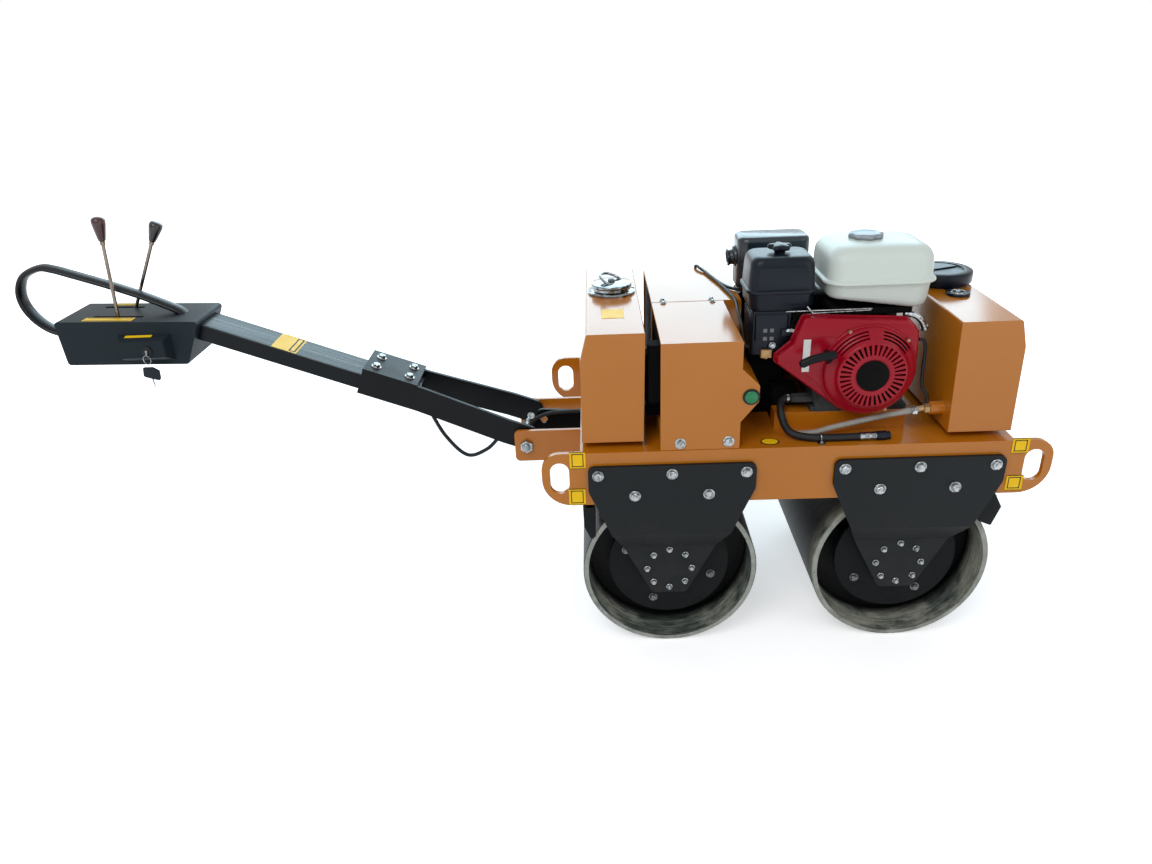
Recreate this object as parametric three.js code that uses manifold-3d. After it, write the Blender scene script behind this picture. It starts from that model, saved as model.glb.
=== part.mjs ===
// Walk-behind double drum roller, in millimetres, +Z up.
// +X is forwards, away from the operator; -Y is the machine's right-hand side.
// The model is built about a point on the ground midway between the drums, and is shifted at the end
// so that its origin lies on the ground under the middle of its outer box.

import * as THREE from "three";
import { mergeVertices } from "three/addons/utils/BufferGeometryUtils.js";
import Module from "manifold-3d";

const wasm = await Module();
wasm.setup();

// ---------------------------------------------------------------- driving dimensions

const SEAT = 0.3; // gap left between two pieces that rest on each other
const RUN = 0.5; // radial running clearance of a pin or spigot
const CLEAR = 5; // gap between a moving piece and its neighbours
const RIGHT = -1;
const LEFT = 1;
const REAR = -1;
const FRONT = 1;

// Drums
const WHEELBASE = 560;
const DRUM_R = 212.5;
const DRUM_WIDTH = 576;
const DRUM_FACETS = 64;
const DRUM_SHELL = 12.5;
const DRUM_EDGE = 3; // chamfer on the shell's rims
const WEB_DEPTH = 106; // from the rim in to the web
const END_DISC_R = 148;
const END_DISC = 10;
const END_DISC_DEPTH = 38; // from the rim in to the disc's outer face
const BUFFER_R = 22;
const BUFFER_RING_R = 112;
const BUFFERS = 4;
const REAR_BUFFER_ANGLE = -20;
const FRONT_BUFFER_ANGLE = -57;
const HUB_SPIGOT_R = 36;
const HUB_SPIGOT = 58;
const HUB_FLANGE_R = 66;
const HUB_FLANGE = 10;

// Main frame
const FRAME_WIDTH = 636;
const FRAME_TOP = 556;
const FRAME_BOTTOM = 422;
const SIDE_PLATE = 12;
const SIDE_LENGTH = 1156;
const SIDE_TOP_R = 42;
const SIDE_BOTTOM_R = 68;
const EYE_FROM_END = 41;
const EYE_Z = 493;
const EYE_W = 44;
const EYE_H = 79;
const DECK_LENGTH = 976;
const DECK = 8;
const END_WALL = 10;
const RIB = 8;
const RIB_X = 40;
const RIB_Z = 440;

// Drum carrier plates, joggled inwards below the frame
const CARRIER = 10;
const CARRIER_TOP = 524;
const CARRIER_HALF = 192;
const CARRIER_SHOULDER_Z = 460;
const CARRIER_CREASE_HALF = 140;
const CARRIER_CREASE_Z = 340;
const CARRIER_STEP_Z = 276;
const CARRIER_STEP_HALF = 112;
const CARRIER_FOOT_HALF = 42;
const CARRIER_FOOT_BELOW_AXLE = 72;
const CARRIER_CORNER_R = 16;
const CARRIER_INNER_Y = 268; // inner face of the lower half, which carries the hub

// Scrapers
const SCRAPER_ANGLE = 35; // above the axle
const SCRAPER_TIP_GAP = 6;
const SCRAPER_T = 11;
const SCRAPER_WIDTH = 520;
const SCRAPER_BEND_Z = 372;

// Water and oil tanks at the two ends of the deck
const TANK_GAP = 15; // under the tank, over the deck
const TANK_TOP = 830;
const TANK_OUTER_FOOT = 483;
const TANK_OUTER_SHOULDER = 481;
const TANK_SHOULDER_Z = 770;
const TANK_OUTER_TOP = 466;
const TANK_INNER_TOP = 337;
const TANK_INNER_FOOT = 342;
const TANK_Y0 = -297;
const TANK_Y1 = 268;
const TANK_EDGE_R = 5;
const TANK_FOOT_W = 24;
const TANK_FOOT_Y = 190;
const REAR_CAP_R = 59;
const REAR_CAP_Y = 35;
const FRONT_CAP_R = 78;
const FRONT_CAP_Y = 20;
const FRONT_CAP_H = 34;
const FITTING_Y = -250;
const FITTING_Z = 612;
const FITTING_R = 15;
const FITTING = 30;
const BARB_NUT = 12;
const TETHER_Y = -95; // the front cap's strap ends in a washer here
const TETHER_R = 27;
const TETHER_W = 20;

// Covers over the pump drive
const COVER_REAR_X = -306;
const COVER_TOP = 811;
const COVER_Y = 316;
const COVER_WALL = 3;
const COVER_SILL = 604; // the hoods' rear sides are open above this height
const COVER_SPLIT_Y = -11;
const COVER_SPLIT = 1.5;
const COVER_FRONT_X = -128;
const COVER_BUMP_X = -89;
const COVER_BUMP = [621, 670, 708, 747]; // heights of the bump's foot, lower edge, upper edge and top
const LEFT_COVER_FRONT_X = -84;

// Guard round the pump's belt, on the engine's far side: a tray that is open towards the engine
const GUARD_FRONT_X = 264;
const GUARD_TOP = 806;
const GUARD_Y0 = 74;
const GUARD_Y1 = 150;
const GUARD_WALL = 3;
const GUARD_FRONT_R = 92;
const GUARD_REAR_R = 16;

// Engine
const RAIL_TOP = 599;
const RAIL_X0 = -33;
const RAIL_X1 = 271;
const RAIL_Y = 222;
const RAIL_REAR_Y = 60;
const RAIL_W = 44;
const CRANK_X = 159;
const CRANK_Z = 711;
const FAN_R = 113;
const FAN_Y0 = -256;
const FAN_Y1 = -223;
const FAN_WALL = 3;
const SHROUD_TOP_REAR = 833;
const SHROUD_TOP_FRONT = 820;
const SHROUD_TOP_REAR_X = 14;
const SHROUD_TOP_FRONT_X = 244;
const SHROUD_SHOULDER = [271, 796];
const SHROUD_NOSE_X = -44; // the narrow end, over the carburettor
const SHROUD_NOSE_Z = 733;
const SHROUD_NOSE = 12;
const SHROUD_NECK = [-8, 774];
const BEAD_R = 110; // ring pressed into the shroud round the starter
const BEAD = 3;
const AIR_GUIDE = [
  [-4, 748],
  [60, 748],
  [91, 814],
  [91, 826],
  [-4, 830],
];
const AIR_GUIDE_Y = -104;
const RECOIL_R = 102;
const RECOIL_FACE_R = 78;
const RECOIL_Y = -290;
const RECOIL_LIP = 6;
const SLOTS = 36; // air slots round the starter's face
const SLOT_R0 = 48;
const SLOT_R1 = 72;
const AIR_SLOT_W = 3.6;
const AIR_SLOT_DEPTH = 6;
const BADGE_R = 34;
const BADGE_GROOVE = 2;
const LOUVRE_R = [83, 89, 95];
const LOUVRE_W = 3;
const LOUVRE_DEPTH = 4;
const LOUVRE_STEPS = 5;
const LOUVRE_ARCS = [
  [34, 78],
  [99, 148],
];
const GRIP_ROUTE = [
  [2, -300, 750],
  [36, -302, 762],
  [70, -300, 768],
];
const GRIP_W = 17;
const GRIP_H = 22;
const GRIP_STEM = [62, -300, 765];
const GRIP_STEM_R = [5, 7];
const CASE_Y1 = 66;
const CASE_HALF = 98;
const CASE_COVER_R = 66;
const CASE_COVER = 6;
const CASE_FOOT_HALF = 110;
const CASE_FOOT = 12;
const SHAFT_R = 12.5;
const SHAFT = 60;
const CYLINDER_TILT = 25; // above level, leaning to the rear
const CYLINDER_FROM = 100; // from the crank axis to the cylinder's seat
const CYLINDER_SEAT_HALF = 66;
const CYLINDER_R = 46;
const CYLINDER_LENGTH = 104;
const FIN_R = 60;
const FIN = 5;
const FINS = 5;
const CYLINDER_Y = -39;
const HEAD_HALF = 45;
const HEAD = 25;
const HEAD_WIDTH = 96;
const ROCKER_HALF = 36;
const ROCKER = 10;
const ROCKER_WIDTH = 72;
const PORT_R = 14;
const PORT_ABOVE = 42;
const FUEL_X = 184;
const FUEL_Y = -130;
const FUEL_W = 232;
const FUEL_D = 196;
const FUEL_FLANGE_Z = 902;
const FUEL_FLANGE = 8;
const FUEL_BOTTOM = 840;
const FUEL_SHALLOW_BOTTOM = 862; // under the tank's rear end
const FUEL_SLOPE_X = [112, 158]; // from the shallow end to the deep one
const FUEL_POSTS_X = [164, 224];
const FUEL_POST = 24;
const FUEL_POST_Y0 = -150;
const FUEL_POST_Y1 = -80;
const FUEL_TOP = 981;
const FUEL_CAP_R = 38;
const FUEL_CAP_H = 18;
const FUEL_CAP_X = 165;
const FUEL_CAP_LOBES = 8;
const FUEL_CAP_HOLLOW_R = 6;
const AIR_X = -32;
const AIR_Y = -165;
const AIR_W = 148;
const AIR_D = 126;
const AIR_BOTTOM = 842;
const AIR_SPLIT = 890;
const AIR_TOP = 958;
const WING_FROM = 8; // the wing knob's underside, above the air cleaner
const WING = 16;
const WING_LOBES = 5;
const WING_LOBE_R = 9;
const WING_RING_R = 19;
const WING_NECK_R = 12;
const AIR_THROAT = [-94, -8, -214, 740]; // the panel's rear x, front x, right y and bottom
const MUFFLER_X = -3;
const MUFFLER_Y = 74;
const MUFFLER_W = 178;
const MUFFLER_D = 104;
const MUFFLER_BOTTOM = 822;
const MUFFLER_TOP = 955;
const OUTLET_Z = 900;
const OUTLET_END_Z = 896;
const OUTLET = 22;
const OUTLET_R = 16;
const OUTLET_END_R = 19;
const GUARD_SLOTS = 9;
const GUARD_SLOT_PITCH = 14;
const GUARD_SLOT_W = 5;
const GUARD_SLOT_LENGTH = 62;
const GUARD_SLOT_DEPTH = 3;

// Handle: everything on it is built about the pivot and tilted with it
const PIVOT_X = -627.5;
const PIVOT_Z = 478;
const HANDLE_SLOPE = 21;
const BRACKET_Y = 106;
const BRACKET = 10;
const BRACKET_TOP = 518;
const BRACKET_BOTTOM = 434;
const BRACKET_OVERHANG = 30; // past the pivot
const STOP_Y = -20; // middle of the stop plate between the arms
const STOP = 8;
const STOP_TOP = 541;
const STOP_BOTTOM = 448;
const STOP_REAR_X = -620;
const STOP_TIP_X = -598;
const STOP_LEDGE = 30; // from the frame's wall
const STOP_DROP = 6;
const STOP_FACE = 36;
const STOP_HOLE_X = -586;
const STOP_HOLE_Z = 511;
const STOP_HOLE_R = 10;
const ARM = 10;
const ARM_BELOW = 20; // lower edge, under the pivot's level
const ARM_ABOVE = 45;
const ARM_FRONT = 26; // past the pivot
const SPLAY_TO = 60;
const SPLAY_FROM = 290; // distance from the pivot where the arms start to spread
const SLEEVE_TO = 446;
const TUBE_W = 105;
const TUBE_H = 41;
const TUBE_WALL = 4;
const TUBE_ABOVE = 5.5; // its underside, above the arms' lower edges
const TUBE_FROM = 300;
const TUBE_TO = 862;
const CLAMP = 6;
const CLAMP_FROM = 306;
const CLAMP_OVERHANG = 6; // of the upper plate, past the arms
const PIVOT_BOLT_R = 10;
const PIVOT_HEAD_R = 17;
const PIVOT_HEAD = 11;
const PIVOT_END = 3; // past the arm's inner face

// Control box, nearly level on the tilted handle
const BOX_REAR_X = -1756;
const BOX_FRONT_X = -1404;
const BOX_FOOT_REAR_X = -1750;
const BOX_FOOT_FRONT_X = -1450;
const BOX_TOP_REAR = 835;
const BOX_TOP_FRONT = 824;
const BOX_BOTTOM_REAR = 724;
const BOX_BOTTOM_FRONT = 717;
const BOX_W = 159;
const BOX_CORNER_R = 8;
const SLOT_W = 11;
const SLOT_DEPTH = 24;
const KEY_HOUSING_X0 = -1607;
const KEY_HOUSING_X1 = -1478;
const KEY_HOUSING_LEAN = 11; // its ends lean in by this much
const KEY_HOUSING = 26; // out from the box's side
const KEY_HOUSING_Z = [730, 745, 786, 797]; // foot, lower edge, upper edge and top
// Lever slots and levers: slot rear x, slot front x, y, foot x, knob x, knob foot z, knob top z
const RIGHT_LEVER = [-1680, -1556, -37, -1618, -1606, 1018, 1074];
const LEFT_LEVER = [-1690, -1590, 44, -1612, -1529, 996, 1047];
const LEVER_R = 4;
const KNOB_FOOT_R = 8;
const KNOB_TOP_R = 16;

// Loop handle over the box: an oval bar in the middle plane, [x, z] along its centre line
const LOOP_W = 40;
const LOOP_H = 17;
const LOOP_ROUTE = [
  [-1452, 806],
  [-1486, 835],
  [-1557, 869],
  [-1606, 889],
  [-1654, 907],
  [-1726, 932],
  [-1765, 945],
  [-1800, 950],
  [-1843, 932],
  [-1864, 896],
  [-1864, 858],
  [-1846, 822],
  [-1816, 795],
  [-1780, 781],
  [-1746, 772],
];
const LOOP_STEPS = 28;

// Hoses and cables: points [x, y, z] along each centre line
const DRAIN_HOSE_R = 9;
const DRAIN_HOSE_Z = FRAME_TOP + DRAIN_HOSE_R + SEAT; // lying on the deck
const DRAIN_BOSS = [6, -205, 628];
const DRAIN_HOSE = [
  [6 - 2 * SEAT, -205, 628],
  [-6, -205, 628],
  [-18, -214, 622],
  [-22, -233, 608],
  [-19, -244, 592],
  [-13, -262, 578],
  [0, -278, 570],
  [26, -288, 566.4],
  [62, -293, DRAIN_HOSE_Z],
  [140, -292, DRAIN_HOSE_Z],
  [216, -290, DRAIN_HOSE_Z],
];
const DRAIN_HOSE_STEPS = 32;
const SIGHT_HOSE_R = 7;
const SIGHT_HOSE_Z = FRAME_TOP + SIGHT_HOSE_R + SEAT;
const SIGHT_HOSE_STEPS = 20;
const SIGHT_HOSE = [
  [288, -250, 609.2],
  [206, -252, 596],
  [101, -260, 577],
  [52, -266, 567],
  [10, -264, SIGHT_HOSE_Z],
];
const VENT_HOSE_R = 4;
const VENT_HOSE_STEPS = 20;
const VENT_HOSE = [
  [272, -240, 775],
  [278, -240, 775],
  [286, -240, 765],
  [289, -240, 740],
  [289, -241, 700],
  [292, -244, 664],
  [303, -250, 642],
  [303, -250, 625.6],
];
const CABLE_R = 5;
const HANDLE_CABLE_STEPS = 36;
const FRAME_CABLE_STEPS = 14;
const HANDLE_CABLE = [
  [-946.6, -20, 595.1],
  [-915.2, -20.2, 584],
  [-885, -32, 563],
  [-845, -40, 483],
  [-793, -40, 424],
  [-740, -40, 438],
  [-703, -42, 474],
  [-668, -50, 507],
  [-638, -60, 502],
  [-628, -64, 484],
  [-627.5, -55, 478],
  [-627.5, -45, 478],
];
const FRAME_CABLE = [
  [-627.5, -43.5, 478],
  [-627.5, -38, 478],
  [-623, -35, 490],
  [-606, -35, 518],
  [-570, -36, 534],
  [-520, -36, 537],
  [-DECK_LENGTH / 2 - SEAT, -36, 537],
];
const CONTROL_CABLE_R = 4;
const CONTROL_CABLE_Z = COVER_TOP + CONTROL_CABLE_R + 2 * SEAT; // lying on the covers
const THROTTLE_CABLE_STEPS = 24;
const THROTTLE_CABLE = [
  [-161, 308, 811.4],
  [-161, 308, 816],
  [-157.5, 295, 819],
  [-150, 268, 816.8],
  [-142, 242, CONTROL_CABLE_Z],
  [-126, 159, CONTROL_CABLE_Z],
  [-105, 89, CONTROL_CABLE_Z],
  [-80, 58, CONTROL_CABLE_Z],
  [-50, 38, 811],
  [-38, 22, 803],
  [-38, 9.5, 803],
];
const CHOKE_CABLE_STEPS = 24;
const CHOKE_CABLE = [
  [-126, 159, CONTROL_CABLE_Z],
  [-118, 110, CONTROL_CABLE_Z],
  [-104, 0, CONTROL_CABLE_Z],
  [-103, -42, 814],
  [-108, -110, 809],
  [-108, -170, 793],
  [-109, -190, 776],
  [-104, -200, 760],
  [-100, -200, 757],
  [-94.4, -200, 757],
];

// ---------------------------------------------------------------- colours

const paint = (color, roughness, metalness = 0) =>
  new THREE.MeshStandardMaterial({ color, roughness, metalness });
const ORANGE = paint(0xb8783a, 0.4, 0.1);
const BLACK = paint(0x23282c, 0.5, 0.1);
const BLACK_PLASTIC = paint(0x1d2126, 0.45);
const RUBBER = paint(0x17191a, 0.85);
const DRUM_STEEL = paint(0x77756a, 0.6, 0.6);
const ZINC = paint(0xb9bec2, 0.35, 0.9);
const CHROME = paint(0xdde0e2, 0.12, 1);
const CASTING = paint(0x8b8e90, 0.55, 0.7);
const RED = paint(0xa81c38, 0.35);
const CREAM = paint(0xd6e0d6, 0.3);
const CLEAR_HOSE = paint(0x8d8f8c, 0.4);

// ---------------------------------------------------------------- shape helpers

// A closed three.js geometry as a solid, turned face out, and the way back.
function solidOf(geometry) {
  const bare = geometry.index ? geometry.toNonIndexed() : geometry.clone();
  bare.deleteAttribute("normal");
  bare.deleteAttribute("uv");
  const merged = mergeVertices(bare, 1e-3);
  const corners = merged.attributes.position.array;
  const faces = [];
  let volume = 0;
  const [a, b, c] = [new THREE.Vector3(), new THREE.Vector3(), new THREE.Vector3()];
  for (let i = 0; i < merged.index.count; i += 3) {
    const face = [merged.index.getX(i), merged.index.getX(i + 1), merged.index.getX(i + 2)];
    if (new Set(face).size < 3) continue;
    [a, b, c].forEach((corner, k) => corner.fromArray(corners, 3 * face[k]));
    volume += a.dot(b.cross(c));
    faces.push(face);
  }
  const triVerts = new Uint32Array(faces.flatMap(([i, j, k]) => (volume < 0 ? [i, k, j] : [i, j, k])));
  const vertProperties = new Float32Array(corners);
  return new wasm.Manifold(new wasm.Mesh({ numProp: 3, vertProperties, triVerts }));
}

function geometryOf(solid) {
  const mesh = solid.getMesh();
  const geometry = new THREE.BufferGeometry();
  geometry.setAttribute("position", new THREE.BufferAttribute(new Float32Array(mesh.vertProperties), 3));
  geometry.setIndex(new THREE.BufferAttribute(new Uint32Array(mesh.triVerts), 1));
  const flat = geometry.toNonIndexed();
  flat.computeVertexNormals();
  return flat;
}

const join = (first, ...others) => others.reduce((sum, other) => sum.add(other), first);
const cut = (first, ...others) => others.reduce((rest, other) => rest.subtract(other), first);

// A three.js outline from corners [u, v, radius], with round corners as true arcs.
function outline(corners, holes = []) {
  const shape = new THREE.Shape();
  corners.forEach(([u, v, r = 0], i) => {
    const corner = new THREE.Vector2(u, v);
    const [lastU, lastV] = corners.at(i - 1);
    const [nextU, nextV] = corners[(i + 1) % corners.length];
    const back = new THREE.Vector2(lastU, lastV).sub(corner).normalize();
    const ahead = new THREE.Vector2(nextU, nextV).sub(corner).normalize();
    const half = Math.acos(THREE.MathUtils.clamp(back.dot(ahead), -1, 1)) / 2;
    const start = corner.clone().addScaledVector(back, r / Math.tan(half));
    if (i === 0) shape.moveTo(start.x, start.y);
    else shape.lineTo(start.x, start.y);
    if (r === 0) return;
    const end = corner.clone().addScaledVector(ahead, r / Math.tan(half));
    const inward = back.clone().add(ahead).normalize();
    const centre = corner.clone().addScaledVector(inward, r / Math.sin(half));
    const from = start.sub(centre).angle();
    const to = end.sub(centre).angle();
    shape.absarc(centre.x, centre.y, r, from, to, back.cross(ahead) > 0);
  });
  shape.closePath();
  shape.holes = holes;
  return shape;
}

const rectangle = (u0, u1, v0, v1, r = 0) => [
  [u0, v0, r],
  [u1, v0, r],
  [u1, v1, r],
  [u0, v1, r],
];

// Prisms of an outline: along Y the outline is in X and Z, along X in Y and Z, along Z in X and Y.
const extrude = (corners, depth, curveSegments) =>
  new THREE.ExtrudeGeometry(outline(corners), { depth, bevelEnabled: false, curveSegments });
const prismZ = (corners, z0, z1, arcs = 3) => solidOf(extrude(corners, z1 - z0, arcs).translate(0, 0, z0));
const prismY = (corners, y0, y1, arcs = 3) =>
  solidOf(extrude(corners, y1 - y0, arcs).rotateX(Math.PI / 2).translate(0, y1, 0));
const TO_X = new THREE.Matrix4().makeBasis(
  new THREE.Vector3(0, 1, 0),
  new THREE.Vector3(0, 0, 1),
  new THREE.Vector3(1, 0, 0),
);
const prismX = (corners, x0, x1, arcs = 3) =>
  solidOf(extrude(corners, x1 - x0, arcs).applyMatrix4(TO_X).translate(x0, 0, 0));

const box = (x0, x1, y0, y1, z0, z1) =>
  solidOf(
    new THREE.BoxGeometry(x1 - x0, y1 - y0, z1 - z0).translate((x0 + x1) / 2, (y0 + y1) / 2, (z0 + z1) / 2),
  );

// A straight round rod, or a cone, from one point to another.
function rod(from, to, r0, r1 = r0, sides = 24) {
  const start = new THREE.Vector3(...from);
  const along = new THREE.Vector3(...to).sub(start);
  const turn = new THREE.Quaternion().setFromUnitVectors(
    new THREE.Vector3(0, 1, 0),
    along.clone().normalize(),
  );
  const geometry = new THREE.CylinderGeometry(r1, r0, along.length(), sides);
  geometry.applyQuaternion(turn);
  geometry.translate(...start.addScaledVector(along, 0.5).toArray());
  return solidOf(geometry);
}

// A body of revolution about an axis parallel to Y, from a closed profile of [radius, y].
function revolveY(profile, x, z, sides, turn = 0) {
  const points = [...profile, profile[0]].map(([r, y]) => new THREE.Vector2(r, y));
  return solidOf(new THREE.LatheGeometry(points, sides).rotateY(turn).translate(x, 0, z));
}

function revolveZ(profile, x, y, sides) {
  const points = [...profile, profile[0]].map(([r, z]) => new THREE.Vector2(r, z));
  return solidOf(new THREE.LatheGeometry(points, sides).rotateX(Math.PI / 2).translate(x, y, 0));
}

// A body lofted through level sections [z, width, depth, corner radius] about one middle line.
function loftZ(sections, x, y, arcSteps = 5) {
  const rings = sections.map(([z, width, depth, r]) => {
    const ring = [];
    [0, 1, 2, 3].forEach((quarter) => {
      const cx = (width / 2 - r) * (quarter === 0 || quarter === 3 ? 1 : -1);
      const cy = (depth / 2 - r) * (quarter < 2 ? 1 : -1);
      for (let step = 0; step <= arcSteps; step += 1) {
        const angle = ((quarter + step / arcSteps) * Math.PI) / 2;
        ring.push([x + cx + r * Math.cos(angle), y + cy + r * Math.sin(angle), z]);
      }
    });
    return ring;
  });
  const count = rings[0].length;
  const last = (rings.length - 1) * count;
  const faces = [];
  for (let i = 0; i < rings.length - 1; i += 1) {
    for (let j = 0; j < count; j += 1) {
      const [p, q] = [i * count + j, i * count + ((j + 1) % count)];
      faces.push(p, q, q + count, p, q + count, p + count);
    }
  }
  for (let j = 1; j < count - 1; j += 1) {
    faces.push(0, j + 1, j);
    faces.push(last, last + j, last + j + 1);
  }
  const geometry = new THREE.BufferGeometry();
  geometry.setAttribute("position", new THREE.Float32BufferAttribute(rings.flat(2), 3));
  geometry.setIndex(faces);
  return solidOf(geometry);
}

// A round or oval section swept along a smooth curve through the points.
function sweep(route, width, height, steps, sides) {
  const curve = new THREE.CatmullRomCurve3(route.map((point) => new THREE.Vector3(...point)));
  const section = new THREE.Shape(
    Array.from({ length: sides }, (_, i) => {
      const angle = (2 * Math.PI * i) / sides;
      return new THREE.Vector2((width / 2) * Math.cos(angle), (height / 2) * Math.sin(angle));
    }),
  );
  return solidOf(new THREE.ExtrudeGeometry(section, { steps, bevelEnabled: false, extrudePath: curve }));
}

const hose = (route, r, steps) => sweep(route, 2 * r, 2 * r, steps, 10);

const roller = new THREE.Group();
const handle = new THREE.Group();
handle.position.set(PIVOT_X, 0, PIVOT_Z);
handle.rotation.y = THREE.MathUtils.degToRad(HANDLE_SLOPE);
roller.add(handle);

function add(name, solid, material, parent = roller) {
  const mesh = new THREE.Mesh(geometryOf(solid), material);
  mesh.name = name;
  parent.add(mesh);
}

// ---------------------------------------------------------------- drums

const AXLE_Z = DRUM_R * Math.cos(Math.PI / DRUM_FACETS); // a facet lies flat on the ground
const RIM_Y = DRUM_WIDTH / 2;
const DISC_Y = RIM_Y - END_DISC_DEPTH;
const WEB_Y = RIM_Y - WEB_DEPTH;

// The vibrating mass fills the drum between its two webs.
function drum(x) {
  const inner = DRUM_R - DRUM_SHELL;
  const half = [
    [DRUM_R - DRUM_EDGE, RIM_Y],
    [inner, RIM_Y],
    [inner, WEB_Y],
    [0, WEB_Y],
  ];
  const profile = [
    [DRUM_R, RIM_Y - DRUM_EDGE],
    ...half,
    ...half.map(([r, y]) => [r, -y]).reverse(),
    [DRUM_R, DRUM_EDGE - RIM_Y],
  ];
  return revolveY(profile, x, AXLE_Z, DRUM_FACETS, Math.PI / DRUM_FACETS);
}

// The disc that turns on the hub, with its four rubber buffers reaching back to the drum's web.
function endDisc(x, side, firstAngle) {
  const back = side * (DISC_Y - END_DISC);
  const disc = rod([x, side * DISC_Y, AXLE_Z], [x, back, AXLE_Z], END_DISC_R, END_DISC_R, 48);
  const buffers = Array.from({ length: BUFFERS }, (_, i) => {
    const angle = THREE.MathUtils.degToRad(firstAngle + (360 / BUFFERS) * i);
    const bx = x + BUFFER_RING_R * Math.cos(angle);
    const bz = AXLE_Z + BUFFER_RING_R * Math.sin(angle);
    const middle = side * (DISC_Y - END_DISC / 2);
    return rod([bx, middle, bz], [bx, side * (WEB_Y + SEAT), bz], BUFFER_R, BUFFER_R, 14);
  });
  const bore = rod([x, 0, AXLE_Z], [x, side * RIM_Y, AXLE_Z], HUB_SPIGOT_R + RUN, HUB_SPIGOT_R + RUN, 36);
  return cut(join(disc, ...buffers), bore);
}

function hub(x, side) {
  const outer = CARRIER_INNER_Y - SEAT;
  return revolveY(
    [
      [0, side * outer],
      [HUB_FLANGE_R, side * outer],
      [HUB_FLANGE_R, side * (outer - HUB_FLANGE)],
      [HUB_SPIGOT_R, side * (outer - HUB_FLANGE)],
      [HUB_SPIGOT_R, side * (outer - HUB_FLANGE - HUB_SPIGOT)],
      [0, side * (outer - HUB_FLANGE - HUB_SPIGOT)],
    ],
    x,
    AXLE_Z,
    36,
  );
}

// A plate bent twice, so that its foot lies inside the drum's rim.
function carrier(x, side) {
  const outerY = FRAME_WIDTH / 2 + SEAT;
  const footZ = AXLE_Z - CARRIER_FOOT_BELOW_AXLE;
  const section = [
    [outerY, CARRIER_TOP],
    [outerY + CARRIER, CARRIER_TOP],
    [outerY + CARRIER, CARRIER_CREASE_Z],
    [CARRIER_INNER_Y + CARRIER, CARRIER_STEP_Z],
    [CARRIER_INNER_Y + CARRIER, footZ],
    [CARRIER_INNER_Y, footZ],
    [CARRIER_INNER_Y, CARRIER_STEP_Z + CARRIER / 2],
    [outerY, CARRIER_CREASE_Z + CARRIER / 2],
  ].map(([y, z]) => [side * y, z]);
  const right = [
    [CARRIER_FOOT_HALF, footZ, CARRIER_CORNER_R],
    [CARRIER_STEP_HALF, CARRIER_STEP_Z],
    [CARRIER_CREASE_HALF, CARRIER_CREASE_Z],
    [CARRIER_HALF, CARRIER_SHOULDER_Z, 2 * CARRIER_CORNER_R],
    [CARRIER_HALF, CARRIER_TOP, CARRIER_CORNER_R],
  ];
  const face = [...right, ...right.map(([u, z, r]) => [-u, z, r]).reverse()];
  const blank = prismX(section, x - CARRIER_HALF, x + CARRIER_HALF);
  return blank.intersect(
    prismY(
      face.map(([u, z, r]) => [x + u, z, r]),
      -FRAME_WIDTH,
      FRAME_WIDTH,
    ),
  );
}

// A bent bar under the frame's end wall, with its lip a little off the drum.
function scraper(end) {
  const reach = DRUM_R + SCRAPER_TIP_GAP;
  const angle = THREE.MathUtils.degToRad(SCRAPER_ANGLE);
  const wall = DECK_LENGTH / 2;
  const tip = [WHEELBASE / 2 + reach * Math.cos(angle), AXLE_Z + reach * Math.sin(angle)];
  const lip = [tip[0] + SCRAPER_T * Math.cos(angle), tip[1] - SCRAPER_T * Math.sin(angle) * 0.4];
  const corners = [
    [wall, FRAME_BOTTOM - SEAT],
    [wall - END_WALL, FRAME_BOTTOM - SEAT],
    [wall - END_WALL, SCRAPER_BEND_Z],
    tip,
    lip,
    [wall, SCRAPER_BEND_Z],
  ];
  return prismY(
    corners.map(([x, z]) => [end * x, z]),
    -SCRAPER_WIDTH / 2,
    SCRAPER_WIDTH / 2,
  );
}

// ---------------------------------------------------------------- frame

function sideFrame(side) {
  const half = SIDE_LENGTH / 2;
  const plate = [
    [-half, FRAME_TOP, SIDE_TOP_R],
    [half, FRAME_TOP, SIDE_TOP_R],
    [half, FRAME_BOTTOM, SIDE_BOTTOM_R],
    [-half, FRAME_BOTTOM, SIDE_BOTTOM_R],
  ];
  const outer = FRAME_WIDTH / 2;
  const y = [side * outer, side * (outer - SIDE_PLATE)].sort((a, b) => a - b);
  const eye = (x) =>
    prismY(
      rectangle(x - EYE_W / 2, x + EYE_W / 2, EYE_Z - EYE_H / 2, EYE_Z + EYE_H / 2, EYE_W / 2 - 0.01),
      -FRAME_WIDTH,
      FRAME_WIDTH,
      4,
    );
  return cut(prismY(plate, ...y, 5), eye(half - EYE_FROM_END), eye(EYE_FROM_END - half));
}

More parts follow.
